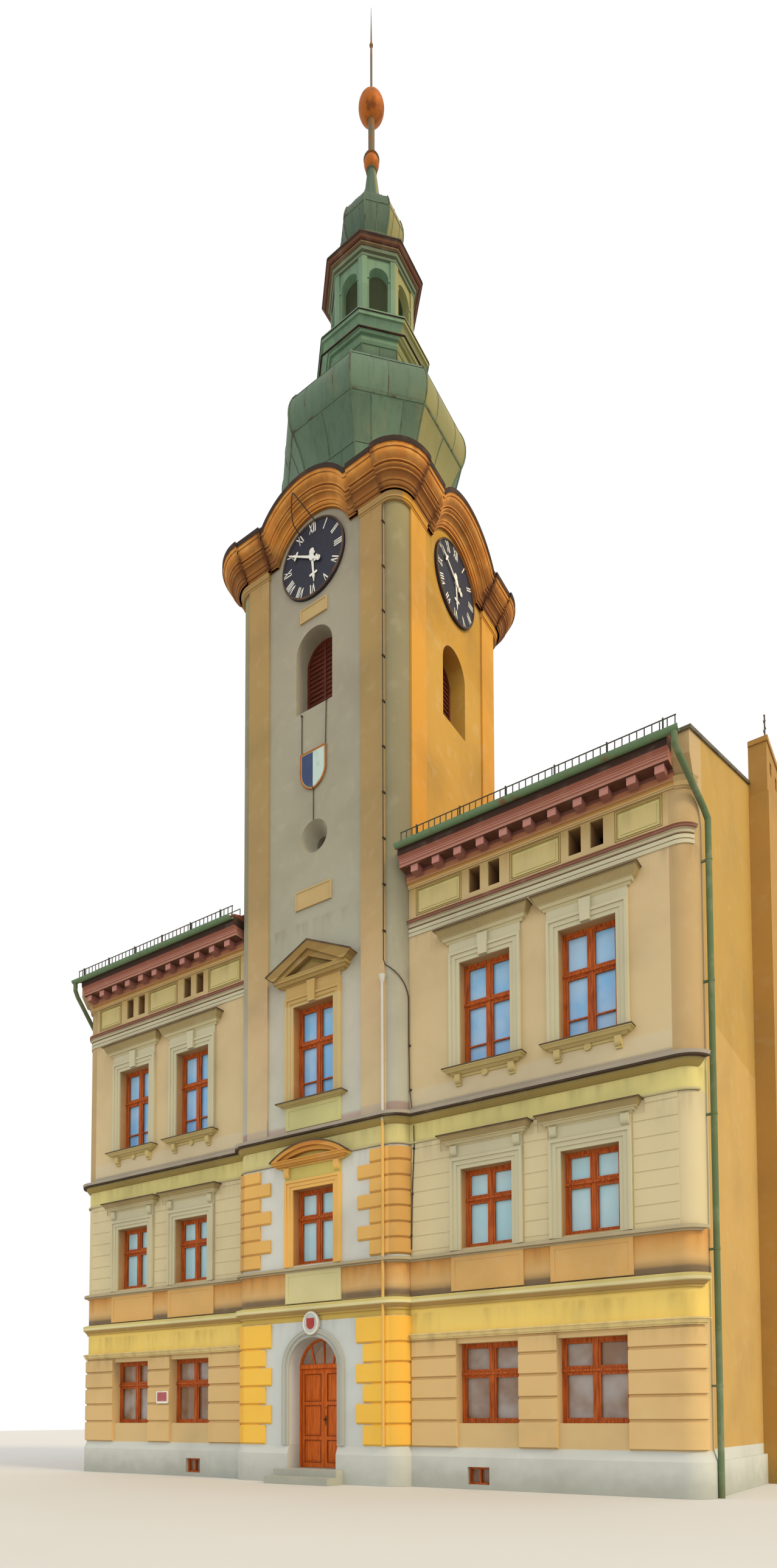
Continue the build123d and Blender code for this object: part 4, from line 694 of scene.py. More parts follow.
class TOWNHALL_OT_trims(bpy.types.Operator):
    """Painted mouldings, surrounds, quoins and string courses"""
    bl_idname = "townhall.trims"
    bl_label = "Trims"

    def execute(self, context):
        cream, hood = (196, 186, 146), (156, 138, 94)
        red, dark = (112, 68, 50), (64, 50, 38)
        # painted shade: the dark rungs from 7.92 and 7.975 are a shadow line and the shaded soffit under
        # the fascia
        strings = [(3.0, (190, 160, 84)), (3.83, (180, 150, 90)), (3.885, (218, 208, 156)),
                   (3.99, (206, 192, 120)), (4.045, dark), (4.5, (176, 164, 132)),
                   (4.925, (100, 92, 70)), (7.4, (190, 180, 132)), (7.445, (120, 100, 62)),
                   (7.84, (158, 138, 76)), (7.92, (110, 86, 50)), (7.935, (154, 140, 88)), (7.975, dark),
                   (7.988, (166, 156, 140)), (8.082, (112, 98, 80)), (8.1, (160, 148, 132)),
                   (12.0, (196, 190, 160)), (12.1, (120, 106, 78)), (12.118, (198, 192, 162)),
                   (12.2, (124, 106, 78)), (12.218, (188, 178, 146)), (12.282, red),
                   (12.312, (140, 92, 76)), (12.33, red), (12.378, (192, 164, 114))]
        use(rendered("string_finish", strings, stain=1.3), "wing_string_courses",
            "tower_string_courses")
        quoins = [(0.0, (246, 196, 76)), (4.0, (226, 178, 96))]
        # painted light and shade: the quoins beyond x 2.1 are a darker copy of the front ones, set against
        # the sun on the corner
        column = [(0.0, (238, 184, 72)), (4.0, (204, 156, 84))]
        use(rendered("quoin_finish", quoins, (), [("x", 2.1, OUT, 0.0, OUT, column)], 0.8),
            "tower_quoins")
        use(rendered("surround_finish", (196, 190, 158), stain=0.7), "wing_window_surrounds")
        sills = [(0.0, (198, 180, 120)), (8.78, (130, 108, 74))]
        use(rendered("sill_finish", sills, stain=1.1), "window_sills")
        hoods = [(6.0, cream), (7.24, hood), (7.38, dark), (11.0, cream), (11.652, hood),
                 (11.828, dark)]
        use(rendered("hood_finish", hoods, stain=1.2), "window_hoods")
        frames = [(4.0, (230, 182, 98)), (7.29, (206, 148, 66)), (7.62, (190, 126, 52)),
                  (8.0, (196, 174, 122)), (11.1, (190, 158, 96)), (11.6, (168, 140, 82)),
                  (11.8, (150, 122, 68)), (12.1, (142, 112, 58))]
        bow = [("y", TOWER - 0.075, OUT, 6.98, 7.72, (206, 190, 104)),
               ("y", TOWER - 0.07, OUT, 11.9, 12.4, (150, 132, 74))]
        use(rendered("tower_surround_finish", frames, fields=bow, stain=1.0), "tower_window_surrounds")
        aprons = [(4.0, (214, 206, 152)), (8.0, (202, 198, 136))]
        wing = [("x", 3.0, OUT, 3.0, 5.0, (216, 172, 104))]
        use(rendered("apron_finish", aprons, fields=wing, stain=1.0), "window_aprons")
        strips = [(8.0, (186, 170, 146)), (8.33, (200, 180, 139), "runs"),
                  (11.0, (196, 169, 127), "runs"), (12.2, (187, 159, 112), "runs"),
                  (14.0, (162, 136, 90), "runs"), (18.0, (160, 134, 82), "runs"),
                  (21.0, (170, 138, 84))]
        # painted sunlight: the pilasters' side faces beyond x 2.43 are golden
        lit = [("x", 2.43, OUT, 8.0, OUT, (210, 152, 52))]
        use(rendered("pilaster_finish", strips, (22.05,), lit, 1.1), "tower_pilasters")
        ochre = recessed("cornice_finish", (206, 134, 52), (88, 46, 12), (220, 166, 84), (1.3, 2.03))
        use(ochre, "tower_cornice")
        rose, line = (178, 124, 106), (128, 72, 54)
        # painted shade: the dark rung from 13.34 is the soffit between the modillions, and the one from
        # 13.645 the shadow under the gutter
        eaves = [(13.0, (196, 168, 116)), (13.16, (186, 140, 76)), (13.2, (198, 160, 98)),
                 (13.23, (176, 120, 56)), (13.34, (84, 44, 26)), (13.42, rose), (13.482, line),
                 (13.496, rose), (13.528, line), (13.54, (168, 110, 92)), (13.572, line),
                 (13.584, (162, 102, 84)), (13.6, line), (13.61, (152, 92, 76)), (13.645, (58, 34, 26))]
        # painted light and shade: the modillions' sides and undersides are darker and their fronts lighter
        # than the rose
        block = [("y", WALL - 1.0, WALL - 0.1, 13.2, 13.412, (156, 100, 90)),
                 ("y", WALL - 1.0, WALL - 0.322, 13.2, 13.412, (188, 130, 118))]
        use(rendered("eaves_finish", eaves, fields=block, stain=0.8), "eaves_cornices")
        stone = rendered("door_stone_finish", (184, 186, 176), stain=0.7)
        use(stone, "door_surround", "door_steps")
        tablets = [(0.0, (205, 200, 186)), (12.0, (186, 160, 108))]
        use(rendered("tablet_finish", tablets, stain=0.8), "plaques")
        return {"FINISHED"}


class TOWNHALL_OT_metals(bpy.types.Operator):
    """Copper, sheet metal, gilding, enamel, tiles, timber and glass"""
    bl_idname = "townhall.metals"
    bl_label = "Metal, timber and glass"

    def execute(self, context):
        base = tuple(context.scene.townhall.copper)
        use(copper("copper_finish", base, scaled(base, 1.7)), "lower_onion")
        use(copper("small_helm_finish", scaled(base, 0.72), base), "upper_onion")
        use(copper("lantern_finish", scaled(base, 1.7), scaled(base, 2.4)),
            "lantern_platform", "lantern_piers", "lantern_arches")
        dark = sheeted("dark_sheet_finish", (46, 30, 20), (70, 42, 26), 0.5, 0.1, 0.75)
        use(dark, "cornice_roof")
        line = (60, 40, 30)
        eaves = [(30.0, (104, 122, 96)), (30.92, line), (30.945, (112, 126, 98)), (31.01, line),
                 (31.03, (128, 108, 76)), (31.06, (84, 44, 30)), (31.1, (116, 72, 44)), (31.13, line)]
        use(rendered("lantern_cornice_finish", eaves, stain=1.2), "lantern_cornice")
        use(sheeted("rod_finish", (104, 92, 64), (128, 84, 40), 0.5), "finial_rod")
        use(sheeted("coping_finish", (92, 84, 58), (70, 58, 42), 0.5), "gable_copings")
        pipes = sheeted("pipe_finish", (98, 126, 90), (118, 88, 58), 0.6, 0.2)
        use(pipes, "gutters", "snow_guards")
        thin = [("x", 0.0, 3.0, 0.0, OUT, [(0.0, (222, 178, 96)), (7.9, (204, 202, 194))])]
        pipe = [(0.0, (100, 124, 92)), (3.0, (92, 112, 76))]
        use(rendered("downpipe_finish", pipe, fields=thin, stain=1.8), "downpipes")
        use(enamel("gilding_finish", (172, 94, 14), (98, 44, 8), 0.45, 0.4), "gilt_balls")
        use(enamel("dial_finish", (16, 18, 38), (28, 32, 66), 0.5), "clock_dials")
        hands = [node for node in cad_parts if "_hand_" in node]
        use(enamel("hand_finish", (232, 230, 218), (196, 186, 160), 0.4), *hands)
        frames = timber("window_timber_finish", (192, 96, 34), (140, 58, 16), "z")
        use(frames, "window_frames_front", "window_frames_rear")
        door = timber("door_timber_finish", (214, 106, 32), (180, 80, 20), "z")
        use(door, "door_frame", "door_leaf_left", "door_leaf_right")
        use(timber("shutter_finish", (104, 44, 24), (70, 28, 14), "x"), "belfry_shutters")
        # painted reflections in the panes, by height
        panes = [(0.0, (120, 84, 56), "runs"), (3.2, (140, 110, 84), "runs"),
                 (4.9, (158, 204, 216), "runs"), (6.9, (174, 214, 224), "runs"),
                 (8.6, (108, 170, 228), "runs"), (11.2, (132, 194, 238))]
        use(glass("pane_finish", panes), "window_glass_front", "window_glass_rear")
        use(tiles("tile_finish", (158, 84, 60), (118, 60, 46)), "roof_front", "roof_rear")
        return {"FINISHED"}


def material(name):
    """A finish that an earlier operator has made."""
    found = bpy.data.materials.get(name)
    if found is None:
        raise RuntimeError("run the finishes first: " + name)
    return found


# Roof


TILES_FROM = 2.43
TILES_TO = 8.09
TILE_LIP = 0.045
TILE_HEAD = 0.016
TILE_WAVE = 0.016
TILE_BED = -0.004
POINTS_PER_TILE = 6
RIDGE_TO = 8.12
RIDGE_TILES = 42
RIDGE_RADII = (0.105, 0.13)


def tile_field(x0, x1, s):
    """Tiles of the front slope: height over it is a lip that falls along each course, plus a sine across
    each tile."""
    low, high = 0.01 - EAVES, RIDGE_Y - WALL - 0.05
    columns = max(1, round((x1 - x0) / s.tile_width))
    rows = max(1, round((high - low) / s.tile_course))
    across = np.linspace(0, columns, columns * POINTS_PER_TILE + 1)
    up = np.repeat(np.arange(rows + 1), 2)[1:-1]
    x, run = np.meshgrid(x0 + (x1 - x0) * across / columns, low + (high - low) * up / rows,
                         indexing="ij")
    lift = np.where(np.arange(len(up)) % 2 == 0, TILE_LIP, TILE_HEAD)
    wave = TILE_WAVE * np.sin(2 * np.pi * across)[:, None]
    roof = ROOF_FOOT + ROOF_RISE * run
    return blanket(*(np.stack([x, WALL + run, roof + over], -1) for over in (lift + wave, TILE_BED)))


class TOWNHALL_OT_roof(bpy.types.Operator):
    """Clay tiles on both slopes and along the ridge"""
    bl_idname = "townhall.roof"
    bl_label = "Roof tiles"

    def execute(self, context):
        s = context.scene.townhall
        clay = material("tile_finish")
        for name, x0, x1, place in (("tiles_front_left", -TILES_TO, -TILES_FROM, None),
                                    ("tiles_front_right", TILES_FROM, TILES_TO, None),
                                    ("tiles_rear", -TILES_TO, TILES_TO, to_rear)):
            Piece().add(tile_field(x0, x1, s), place).make(name, "roof_tiles", clay, smooth=0.6)
        at = np.repeat(np.linspace(-RIDGE_TO, RIDGE_TO, RIDGE_TILES + 1), 2)[1:-1]
        radius = np.where(np.arange(len(at)) % 2 == 0, *RIDGE_RADII)
        ridge = ROOF_FOOT + ROOF_RISE * (RIDGE_Y - WALL)
        form = lathed(np.stack([radius, at], -1), (0, RIDGE_Y, ridge), "x", 14)
        Piece().add(form).make("ridge_tiles", "roof_tiles", clay, smooth=0.6)
        return {"FINISHED"}


# Copper helms


LOWER_CURVES = chained((2.75, 22.95), ((2.05, 23.6), (1.75, 24.5), 12), ((1.9, 25.25), (2.2, 25.9), 10),
                       ((2.27, 26.3), (2.04, 26.95), 10), ((1.42, 27.45), (1.08, 28.2), 10))
LOWER_HELM = np.vstack([LOWER_CURVES, [(1.08, 28.41)]])
UPPER_HELM = chained((1.2, 31.22), ((0.7, 31.45), (0.5, 31.9), 10), ((0.79, 32.7), (0.7, 33.1), 12))
LOWER_LAPS = (24.05, 24.95, 25.85, 26.75, 27.55)
UPPER_LAPS = (32.1, 32.75)
SEAMS_FROM = (23.75, 31.3)
EDGE_SEAM = 0.02
FACE_SEAM = 0.012
LANTERN_LIPS = ((1.41, 28.45), (1.41, 28.9), (1.257, 31.18))
EIGHTH = math.pi / 4


def helm_half(helm, z):
    """Distance from the middle to a face of the helm at a height, along its profile."""
    return np.interp(z, helm[:, 1], helm[:, 0])


def helm_rod(helm, low, high, share, face, radius):
    """A standing seam up one face of a helm: the face's distance along its normal and a share of its half
    width."""
    z = np.linspace(low, high, max(2, int((high - low) / 0.12)))
    half = helm_half(helm, z) + radius * 0.2
    normal, along = face * EIGHTH, face * EIGHTH + math.pi / 2
    side = half * math.tan(EIGHTH / 2) * share
    x = half * math.cos(normal) + side * math.cos(along)
    y = TOWER_MID + half * math.sin(normal) + side * math.sin(along)
    return tube(np.stack([x, y, z], -1), radius, 6, (-math.sin(normal), math.cos(normal), 0))


def helm_lap(helm, z, tall, proud):
    """A lapped edge round a helm: an octagon of the profile's distance, over the cosine of a sixteenth of
    a turn."""
    low, high = helm_half(helm, z - tall), helm_half(helm, z + tall)
    section = np.array([(low - 0.03, z - tall), (low + proud, z - tall),
                        (high + proud * 0.3, z + tall), (high - 0.03, z + tall)])
    angle = (np.arange(8) + 0.5) * EIGHTH
    reach = section[:, 0] / math.cos(EIGHTH / 2)
    x, y = reach * np.cos(angle)[:, None], TOWER_MID + reach * np.sin(angle)[:, None]
    return np.stack([x, y, np.broadcast_to(section[:, 1], x.shape)], -1), ring_faces(8, 4, True)


class TOWNHALL_OT_copper(bpy.types.Operator):
    """Standing seams and laps of the two copper helms, and the lips of the lantern between them"""
    bl_idname = "townhall.copper"
    bl_label = "Copper seams"

    def execute(self, context):
        seam = sheeted("seam_finish", (84, 104, 78), (70, 62, 42), 0.5, 0.2)
        for name, helm, laps, first in (("lower_seams", LOWER_HELM, LOWER_LAPS, SEAMS_FROM[0]),
                                        ("upper_seams", UPPER_HELM, UPPER_LAPS, SEAMS_FROM[1])):
            piece = Piece()
            tip = helm[-1, 1]
            edges = [first, *laps, tip - 0.03]
            for z in laps:
                piece.add(helm_lap(helm, z, 0.018, 0.011))
            for face in range(8):
                piece.add(helm_rod(helm, first, tip - 0.02, 1.0, face, EDGE_SEAM))
                for k in range(len(edges) - 1):
                    for share in ((-0.45, 0.45) if (k + face) % 2 else (0.0,)):
                        piece.add(helm_rod(helm, edges[k], edges[k + 1], share, face, FACE_SEAM))
            piece.make(name, "green_copper", seam, smooth=0.7)
        lips = Piece()
        for reach, z in LANTERN_LIPS:
            upright = np.array([(reach, z - 1), (reach, z + 1)])
            lips.add(helm_lap(upright, z, 0.014, 0.014))
        lips.make("lantern_lips", "green_copper", material("dark_sheet_finish"))
        return {"FINISHED"}


# Tower cornice


# Runs of the moulding: share of the height and reach at its foot, the same at its head, and its curve
CORNICE_RUNS = (
    (0.0, 0.07, 0.06, 0.075, "flat"),
    (0.064, 0.1, 0.15, 0.13, "round"),
    (0.158, 0.15, 0.31, 0.235, "hollow"),
    (0.318, 0.262, 0.35, 0.266, "flat"),
    (0.362, 0.268, 0.49, 0.278, "torus"),
    (0.5, 0.335, 0.53, 0.338, "flat"),
    (0.54, 0.345, 0.74, 0.44, "round"),
    (0.75, 0.462, 0.83, 0.476, "flat"),
    (0.832, 0.49, 0.84, 0.49, "flat"),
)
BULGE = 0.05

# Half width and rise of the arch over a dial, and how much they grow up the moulding
ARCH_HALF = 1.07
ARCH_RISE = 0.75
ARCH_WIDER = 0.15
ARCH_FLATTER = 0.13

# Distances from a face's middle to the breaks and to the round corner, and how far the breaks stand out
BREAKS = (1.3, 2.01)
BREAKS_OUT = (0.045, 0.09)
CORNER_FROM = 2.02


def cornice_profile(steps):
    """Share of the height and reach of a run of fillets, hollows, rounds and toruses: between its ends a
    hollow is one less the cosine of a quarter turn, a round its sine, and a torus stands out by the sine of
    half a turn."""
    made = []
    t = np.linspace(0, 1, steps)
    for s0, r0, s1, r1, kind in CORNICE_RUNS:
        reach = {"hollow": 1 - np.cos(t * np.pi / 2), "round": np.sin(t * np.pi / 2)}.get(kind, t)
        bulge = BULGE * np.sin(np.pi * t) if kind == "torus" else 0
        made.append(np.stack([s0 + (s1 - s0) * t, r0 + (r1 - r0) * reach + bulge], -1))
    return np.vstack(made)


def cornice_path():
    """Base point, normal, extra reach and distance from the face's middle, round a quarter from one middle
    to the next."""
    (inner, outer), (some, more) = BREAKS, BREAKS_OUT
    flat = np.concatenate([np.linspace(0, inner, 30), [inner, inner, outer, outer, CORNER_FROM]])
    extra = np.concatenate([np.zeros(31), [some, some, more, more]])
    turn = np.linspace(0, np.pi / 2, 9)[1:-1]
    front = np.stack([flat, 0 * flat - TOWER_HALF, 0 * flat, 0 * flat - 1], -1)
    east, south = np.sin(turn), -np.cos(turn)
    radius = TOWER_HALF - CORNER_FROM
    corner = np.stack([CORNER_FROM + radius * east, -CORNER_FROM + radius * south, east, south], -1)
    side = front[::-1] @ np.array([[0, -1, 0, 0], [-1, 0, 0, 0], [0, 0, 0, -1], [0, 0, -1, 0]])
    rows = np.vstack([front, corner, side])
    along = np.concatenate([flat, turn * 0 + TOWER_HALF, flat[::-1]])
    reach = np.concatenate([extra, turn * 0 + more, extra[::-1]])
    return rows[:-1], reach[:-1], along[:-1]


class TOWNHALL_OT_cornice(bpy.types.Operator):
    """Moulded tower cornice that arches over the clocks and breaks over pilasters and corners"""
    bl_idname = "townhall.cornice"
    bl_label = "Tower cornice"

    def execute(self, context):
        profile = cornice_profile(context.scene.townhall.cornice_steps)
        share = np.concatenate([profile[:, 0], [profile[-1, 0], 0.0]])
        proud = np.concatenate([profile[:, 1], [0.03, 0.03]])
        rows, extra, along = cornice_path()
        chord, rise = ARCH_HALF + ARCH_WIDER * share, ARCH_RISE - ARCH_FLATTER * share
        radius = (chord ** 2 + rise ** 2) / (2 * rise)
        arch = np.sqrt(np.maximum(radius ** 2 - along[:, None] ** 2, 0)) - (radius - rise)
        over = np.where(along[:, None] < chord, np.maximum(arch, 0), 0)
        z = CORNICE_FOOT + CORNICE_HIGH * share + over
        out = proud + extra[:, None]
        x = rows[:, :1] + rows[:, 2:3] * out
        y = TOWER_MID + rows[:, 1:2] + rows[:, 3:4] * out
        points = np.stack([x, y, z], -1)
        ring = np.concatenate([quarter(points, k) for k in range(4)])
        form = ring, ring_faces(len(ring), len(share), True)
        Piece().add(form).make("cornice_moulding", "ochre_trim", material("cornice_finish"), smooth=0.6)
        return {"FINISHED"}


# Clocks


# Distances of each stroke's head and foot from its letter's middle, and the letters' widths
STROKES = {"I": ((0.0, 0.0),), "V": ((-0.042, 0.0), (0.042, 0.0)),
           "X": ((-0.045, 0.045), (0.045, -0.045))}
ADVANCE = {"I": 0.05, "V": 0.115, "X": 0.115}
HOURS = ("I", "II", "III", "IV", "V", "VI", "VII", "VIII", "IX", "X", "XI", "XII")
STROKE_HALF = 0.013
HAIRLINE_HALF = 0.007
NUMERAL_FOOT = 0.64


def numeral(hour, foot, high):
    """Strokes of a numeral as quads of distance along its line and outwards from the middle."""
    letters = HOURS[hour - 1]
    at = -sum(ADVANCE[c] for c in letters) / 2
    quads = []
    for letter in letters:
        middle = at + ADVANCE[letter] / 2
        at += ADVANCE[letter]
        for k, (top, bottom) in enumerate(STROKES[letter]):
            w = STROKE_HALF if letter == "I" or k == 0 else HAIRLINE_HALF
            quads.append([(middle + bottom - w, foot), (middle + bottom + w, foot),
                          (middle + top + w, foot + high), (middle + top - w, foot + high)])
    return quads


def on_dial(flat, hour):
    """Points across and out from the middle, turned to an hour: the angle is a twelfth of a turn each."""
    angle = hour * math.pi / 6
    a, r = np.asarray(flat, float)[..., 0], np.asarray(flat, float)[..., 1]
    x = r * math.sin(angle) + a * math.cos(angle)
    z = CLOCK_Z + r * math.cos(angle) - a * math.sin(angle)
    return np.stack([x, 0 * x + DIAL_FACE, z], -1)


class TOWNHALL_OT_clocks(bpy.types.Operator):
    """Numerals and rims of the four dials"""
    bl_idname = "townhall.clocks"
    bl_label = "Clocks"

    def execute(self, context):
        high = context.scene.townhall.numeral_height
        white = material("hand_finish")
        rim = sheeted("rim_finish", (74, 56, 44), (96, 70, 48), 0.5, 0.2)
        circle = np.arange(64) * 2 * np.pi / 64
        ring = np.stack([np.sin(circle), np.cos(circle)], -1) * (DIAL_RADIUS - 0.02) + (0, CLOCK_Z)
        section = [(-0.022, 0.0), (-0.022, 0.02), (-0.008, 0.032), (0.012, 0.032), (0.024, 0.016),
                   (0.024, -0.03)]
        for k, name in enumerate(("front", "right", "rear", "left")):
            def place(points, turns=k):
                return quarter(points, turns)
            marks = Piece()
            for hour in range(1, 13):
                flat = numeral(hour, NUMERAL_FOOT, high)
                marks.add(prisms(on_dial(flat, hour), (0, -0.006, 0)), place)
            marks.make("numerals_" + name, "hand_enamel", white)
            form = moulding(ring, section, DIAL_FACE, True)
            Piece().add(form, place).make("dial_rim_" + name, "dark_copper", rim, smooth=0.8)
        return {"FINISHED"}


# Belfry


BELFRY_SILL = 18.33
BELFRY_SPRING = 19.64
BELFRY_HALF = 0.468
SLATS_TO = 20.05

# A slat's section: y and height over its foot
SLAT = np.array([(-5.338, 0.0), (-5.338, 0.014), (-5.305, 0.07), (-5.305, 0.056)])


class TOWNHALL_OT_louvres(bpy.types.Operator):
    """Sloping slats in the four belfry openings"""
    bl_idname = "townhall.louvres"
    bl_label = "Belfry slats"

    def execute(self, context):
        z = np.arange(BELFRY_SILL, SLATS_TO, context.scene.townhall.slat_pitch)
        over = np.maximum(z + 0.06 - BELFRY_SPRING, 0)
        half = np.sqrt(np.maximum(BELFRY_HALF ** 2 - over ** 2, 0.02))
        across = np.broadcast_arrays(-half[:, None], SLAT[:, 0], z[:, None] + SLAT[:, 1])
        points, faces = prisms(np.stack(across, -1), np.stack([2 * half, 0 * half, 0 * half], -1))
        piece = Piece()
        for k in range(4):
            piece.add((quarter(points, k), faces))
        piece.make("belfry_slats", "shutter_timber", material("shutter_finish"))
        return {"FINISHED"}


# Sheet metal on ledges


# Half width, reach, lip, top and inner edge of the sheets on an upper hood, a lower hood and a sill
HOOD_SHEETS = ((0.83, 0.26, 11.835, 11.85, 0.09), (0.79, 0.26, 7.388, 7.4, 0.09))
SILL_SHEET = (0.705, 0.22, 8.808, 8.82, 0.05)
TOWER_SILL_HALF = 0.748

# Tips of the three-cornered pediment, points of the curved one, and section of their sheet
GABLE = ((1.262, 11.9), (0, 12.48), (-1.262, 11.9))
BOW = ((1.115, 7.405), (0, 7.772), (-1.115, 7.405))
PEDIMENT_SHEET = ((0.0, -0.05), (-0.012, -0.05), (-0.012, 0.272), (0.02, 0.272), (0.02, 0.262),
                  (0.0, 0.262))


def shelf(axis, wall, half, reach, lip, top, inner):
    """A folded sheet round a shelf: a drip edge, a slope up to the wall, and its own thickness."""
    path = [(axis - half, wall + 0.03), (axis - half, wall), (axis + half, wall),
            (axis + half, wall + 0.03)]
    near, far, drip = reach + 0.002, reach + 0.011, lip - 0.02
    return swept(path, [(near, drip), (far, drip), (far, lip + 0.007), (inner, top + 0.01),
                        (-0.02, top + 0.01), (-0.02, top + 0.003), (inner, top + 0.003),
                        (near, lip + 0.001)])


class TOWNHALL_OT_ledges(bpy.types.Operator):
    """Folded sheets on the hoods, sills and pediments"""
    bl_idname = "townhall.ledges"
    bl_label = "Ledge sheets"

    def execute(self, context):
        piece = Piece()
        for axis in WINDOW_AXES:
            for middle in (-axis, axis):
                for sheet in (*HOOD_SHEETS, SILL_SHEET):
                    piece.add(shelf(middle, WALL, *sheet))
        piece.add(shelf(0, TOWER, TOWER_SILL_HALF, *SILL_SHEET[1:]))
        piece.add(moulding(GABLE, PEDIMENT_SHEET, TOWER))
        piece.add(moulding(arc(*BOW, 25), PEDIMENT_SHEET, TOWER))
        dark = sheeted("ledge_finish", (88, 70, 48), (66, 50, 36), 0.5, 0.3)
        piece.make("ledge_sheets", "dark_copper", dark)
        return {"FINISHED"}


# Rods and fittings


SHAFT_X = 2.01
SHAFT_Y = TOWER - 0.055
SHAFT_ENDS = (22.0, 11.5)
SHAFT_CLIPS = (21.6, 11.6, -1.05)
CLIP_HALF = 0.018
BEND = math.radians(75)
BEND_RADIUS = 0.425
BEND_TOP = 11.4
BEND_DROP = 0.8

# The conductor below the tower's shaft: down to the string, past it, and its clips on the wall
CONDUCTOR_LOW = [(2.43, WALL - 0.04, 9.7), (2.45, WALL - 0.04, 8.62), (2.5, WALL - 0.05, 8.2)]
CONDUCTOR_FOOT = [(2.55, WALL - 0.05, 7.8), (2.55, WALL - 0.03, 7.38), (2.5, WALL - 0.03, 6.4),
                  (2.47, WALL - 0.03, 5.1)]
WALL_CLIPS = np.array([(2.44, 9.6), (2.46, 8.61), (2.54, 7.3), (2.5, 6.3), (2.47, 5.4)])

# Radius and height of the thin pipe's head, and foot and reach of the finial's collars
PIPE_HEAD = [(0.032, 10.98), (0.046, 11.02), (0.07, 11.12), (0.07, 11.16)]
COLLARS = ((35.03, 0.215), (34.7, 0.15))

# Upper and lower end of each hanger in x and z
HANGERS = (((-0.35, 18.12), (-0.352, 17.19)), ((0.38, 18.21), (0.352, 17.12)),
           ((0.0, 16.22), (0.0, 15.46)))
BRACKET = [(0.128, -5.82, 22.64), (-0.05, -6.08, 22.93), (-0.21, -6.265, 23.18), (-0.24, -6.275, 23.2),
           (-0.27, -6.262, 23.14), (-0.34, -6.2, 22.91), (-0.401, -6.05, 22.7), (-0.373, -5.82, 22.6)]

# Place of the aerial's mast, its foot and tip, and height and half length of its crossbars
MAST = (8.8, 0.3)
MAST_ENDS = (16.85, 18.1)
CROSSBARS = ((17.35, 0.16), (17.6, 0.2), (17.85, 0.16), (18.02, 0.11))


def conductor_bend():
    """The conductor round the tower's corner: BEND times one less the square of the share still to go."""
    share = np.linspace(0, 1, 10)
    angle = BEND * (1 - (1 - share) ** 2)
    x = CORNER_FROM + BEND_RADIUS * np.sin(angle)
    y = TOWER_MID - CORNER_FROM - BEND_RADIUS * np.cos(angle)
    return np.stack([x, y, BEND_TOP - BEND_DROP * share], -1).tolist()


class TOWNHALL_OT_rods(bpy.types.Operator):
    """Lightning conductor, pipe head, collars, shield's hangers, clock's bracket and aerial"""
    bl_idname = "townhall.rods"
    bl_label = "Rods"

    def execute(self, context):
        radius = context.scene.townhall.wire_radius
        dark = sheeted("wire_finish", (58, 50, 38), (82, 60, 38), 0.55, 0.4)
        conductor = Piece()
        shaft = [(SHAFT_X, SHAFT_Y - 0.02, z) for z in np.linspace(*SHAFT_ENDS, 16)]
        conductor.add(tube(shaft + conductor_bend() + CONDUCTOR_LOW, radius))
        conductor.add(tube(CONDUCTOR_FOOT, radius))
        z = np.arange(*SHAFT_CLIPS)
        conductor.add(bars(SHAFT_X - 0.02, SHAFT_X + 0.02, SHAFT_Y - 0.035, TOWER, z - CLIP_HALF,
                           z + CLIP_HALF))
        x, z = WALL_CLIPS.T
        conductor.add(bars(x - 0.02, x + 0.02, WALL - 0.045, WALL, z - CLIP_HALF, z + CLIP_HALF))
        conductor.make("lightning_conductor", "dark_copper", dark, smooth=0.8)
        head = lathed(PIPE_HEAD, (1.978, TOWER - 0.082, 0), "z", 16)
        Piece().add(head).make("pipe_head", "green_pipe", material("downpipe_finish"), smooth=0.8)
        collars = Piece()
        for foot, reach in COLLARS:
            profile = [(0.08, foot - 0.03), (reach - 0.02, foot - 0.02), (reach, foot),
                       (reach - 0.02, foot + 0.04), (0.08, foot + 0.07)]
            collars.add(lathed(profile, (0, TOWER_MID, 0), "z", 24))
        collars.make("finial_collars", "dark_copper", material("rod_finish"), smooth=0.9)
        hangers = Piece()
        for (x0, z0), (x1, z1) in HANGERS:
            hangers.add(tube([(x0, TOWER - 0.02, z0), (x1, TOWER - 0.02, z1)], 0.011))
            hangers.add(lathed([(0.022, -0.01), (0.022, 0.03)], (x0, TOWER - 0.02, z0), "y", 8))
        hangers.make("shield_hangers", "dark_copper", dark, smooth=0.8)
        bracket = tube(BRACKET, 0.014, 8, (0.2, 1, 0.1))
        Piece().add(bracket).make("clock_bracket", "dark_copper", dark, smooth=0.8)
        aerial = Piece()
        x, y = MAST
        aerial.add(tube([(x, y, z) for z in MAST_ENDS], 0.016, 8, (0, 1, 0)))
        for z, half in CROSSBARS:
            aerial.add(tube([(x, y - half, z), (x, y + half, z)], 0.008, 6, (1, 0, 0)))
        aerial.make("aerial", "dark_copper", dark, smooth=0.8)
        return {"FINISHED"}


# Fence, beads and fittings


FENCE_Y = WALL - 0.43
FENCE_FOOT = 13.87
FENCE_TOP = 14.17
FENCE_ENDS = (2.48, 8.44)

# First and last in x, and how many
FENCE_BARS = (2.5, 8.42, 43)
FENCE_POSTS = (2.9, 8.2, 6)
MODILLIONS = (2.772, 8.09, 11)

# Left and right edges of the attic panels on the right, and their foot and head
PANELS = ((2.664, 3.689), (4.937, 5.95), (7.17, 7.98))
PANEL_FOOT = 12.53
PANEL_HEAD = 13.03

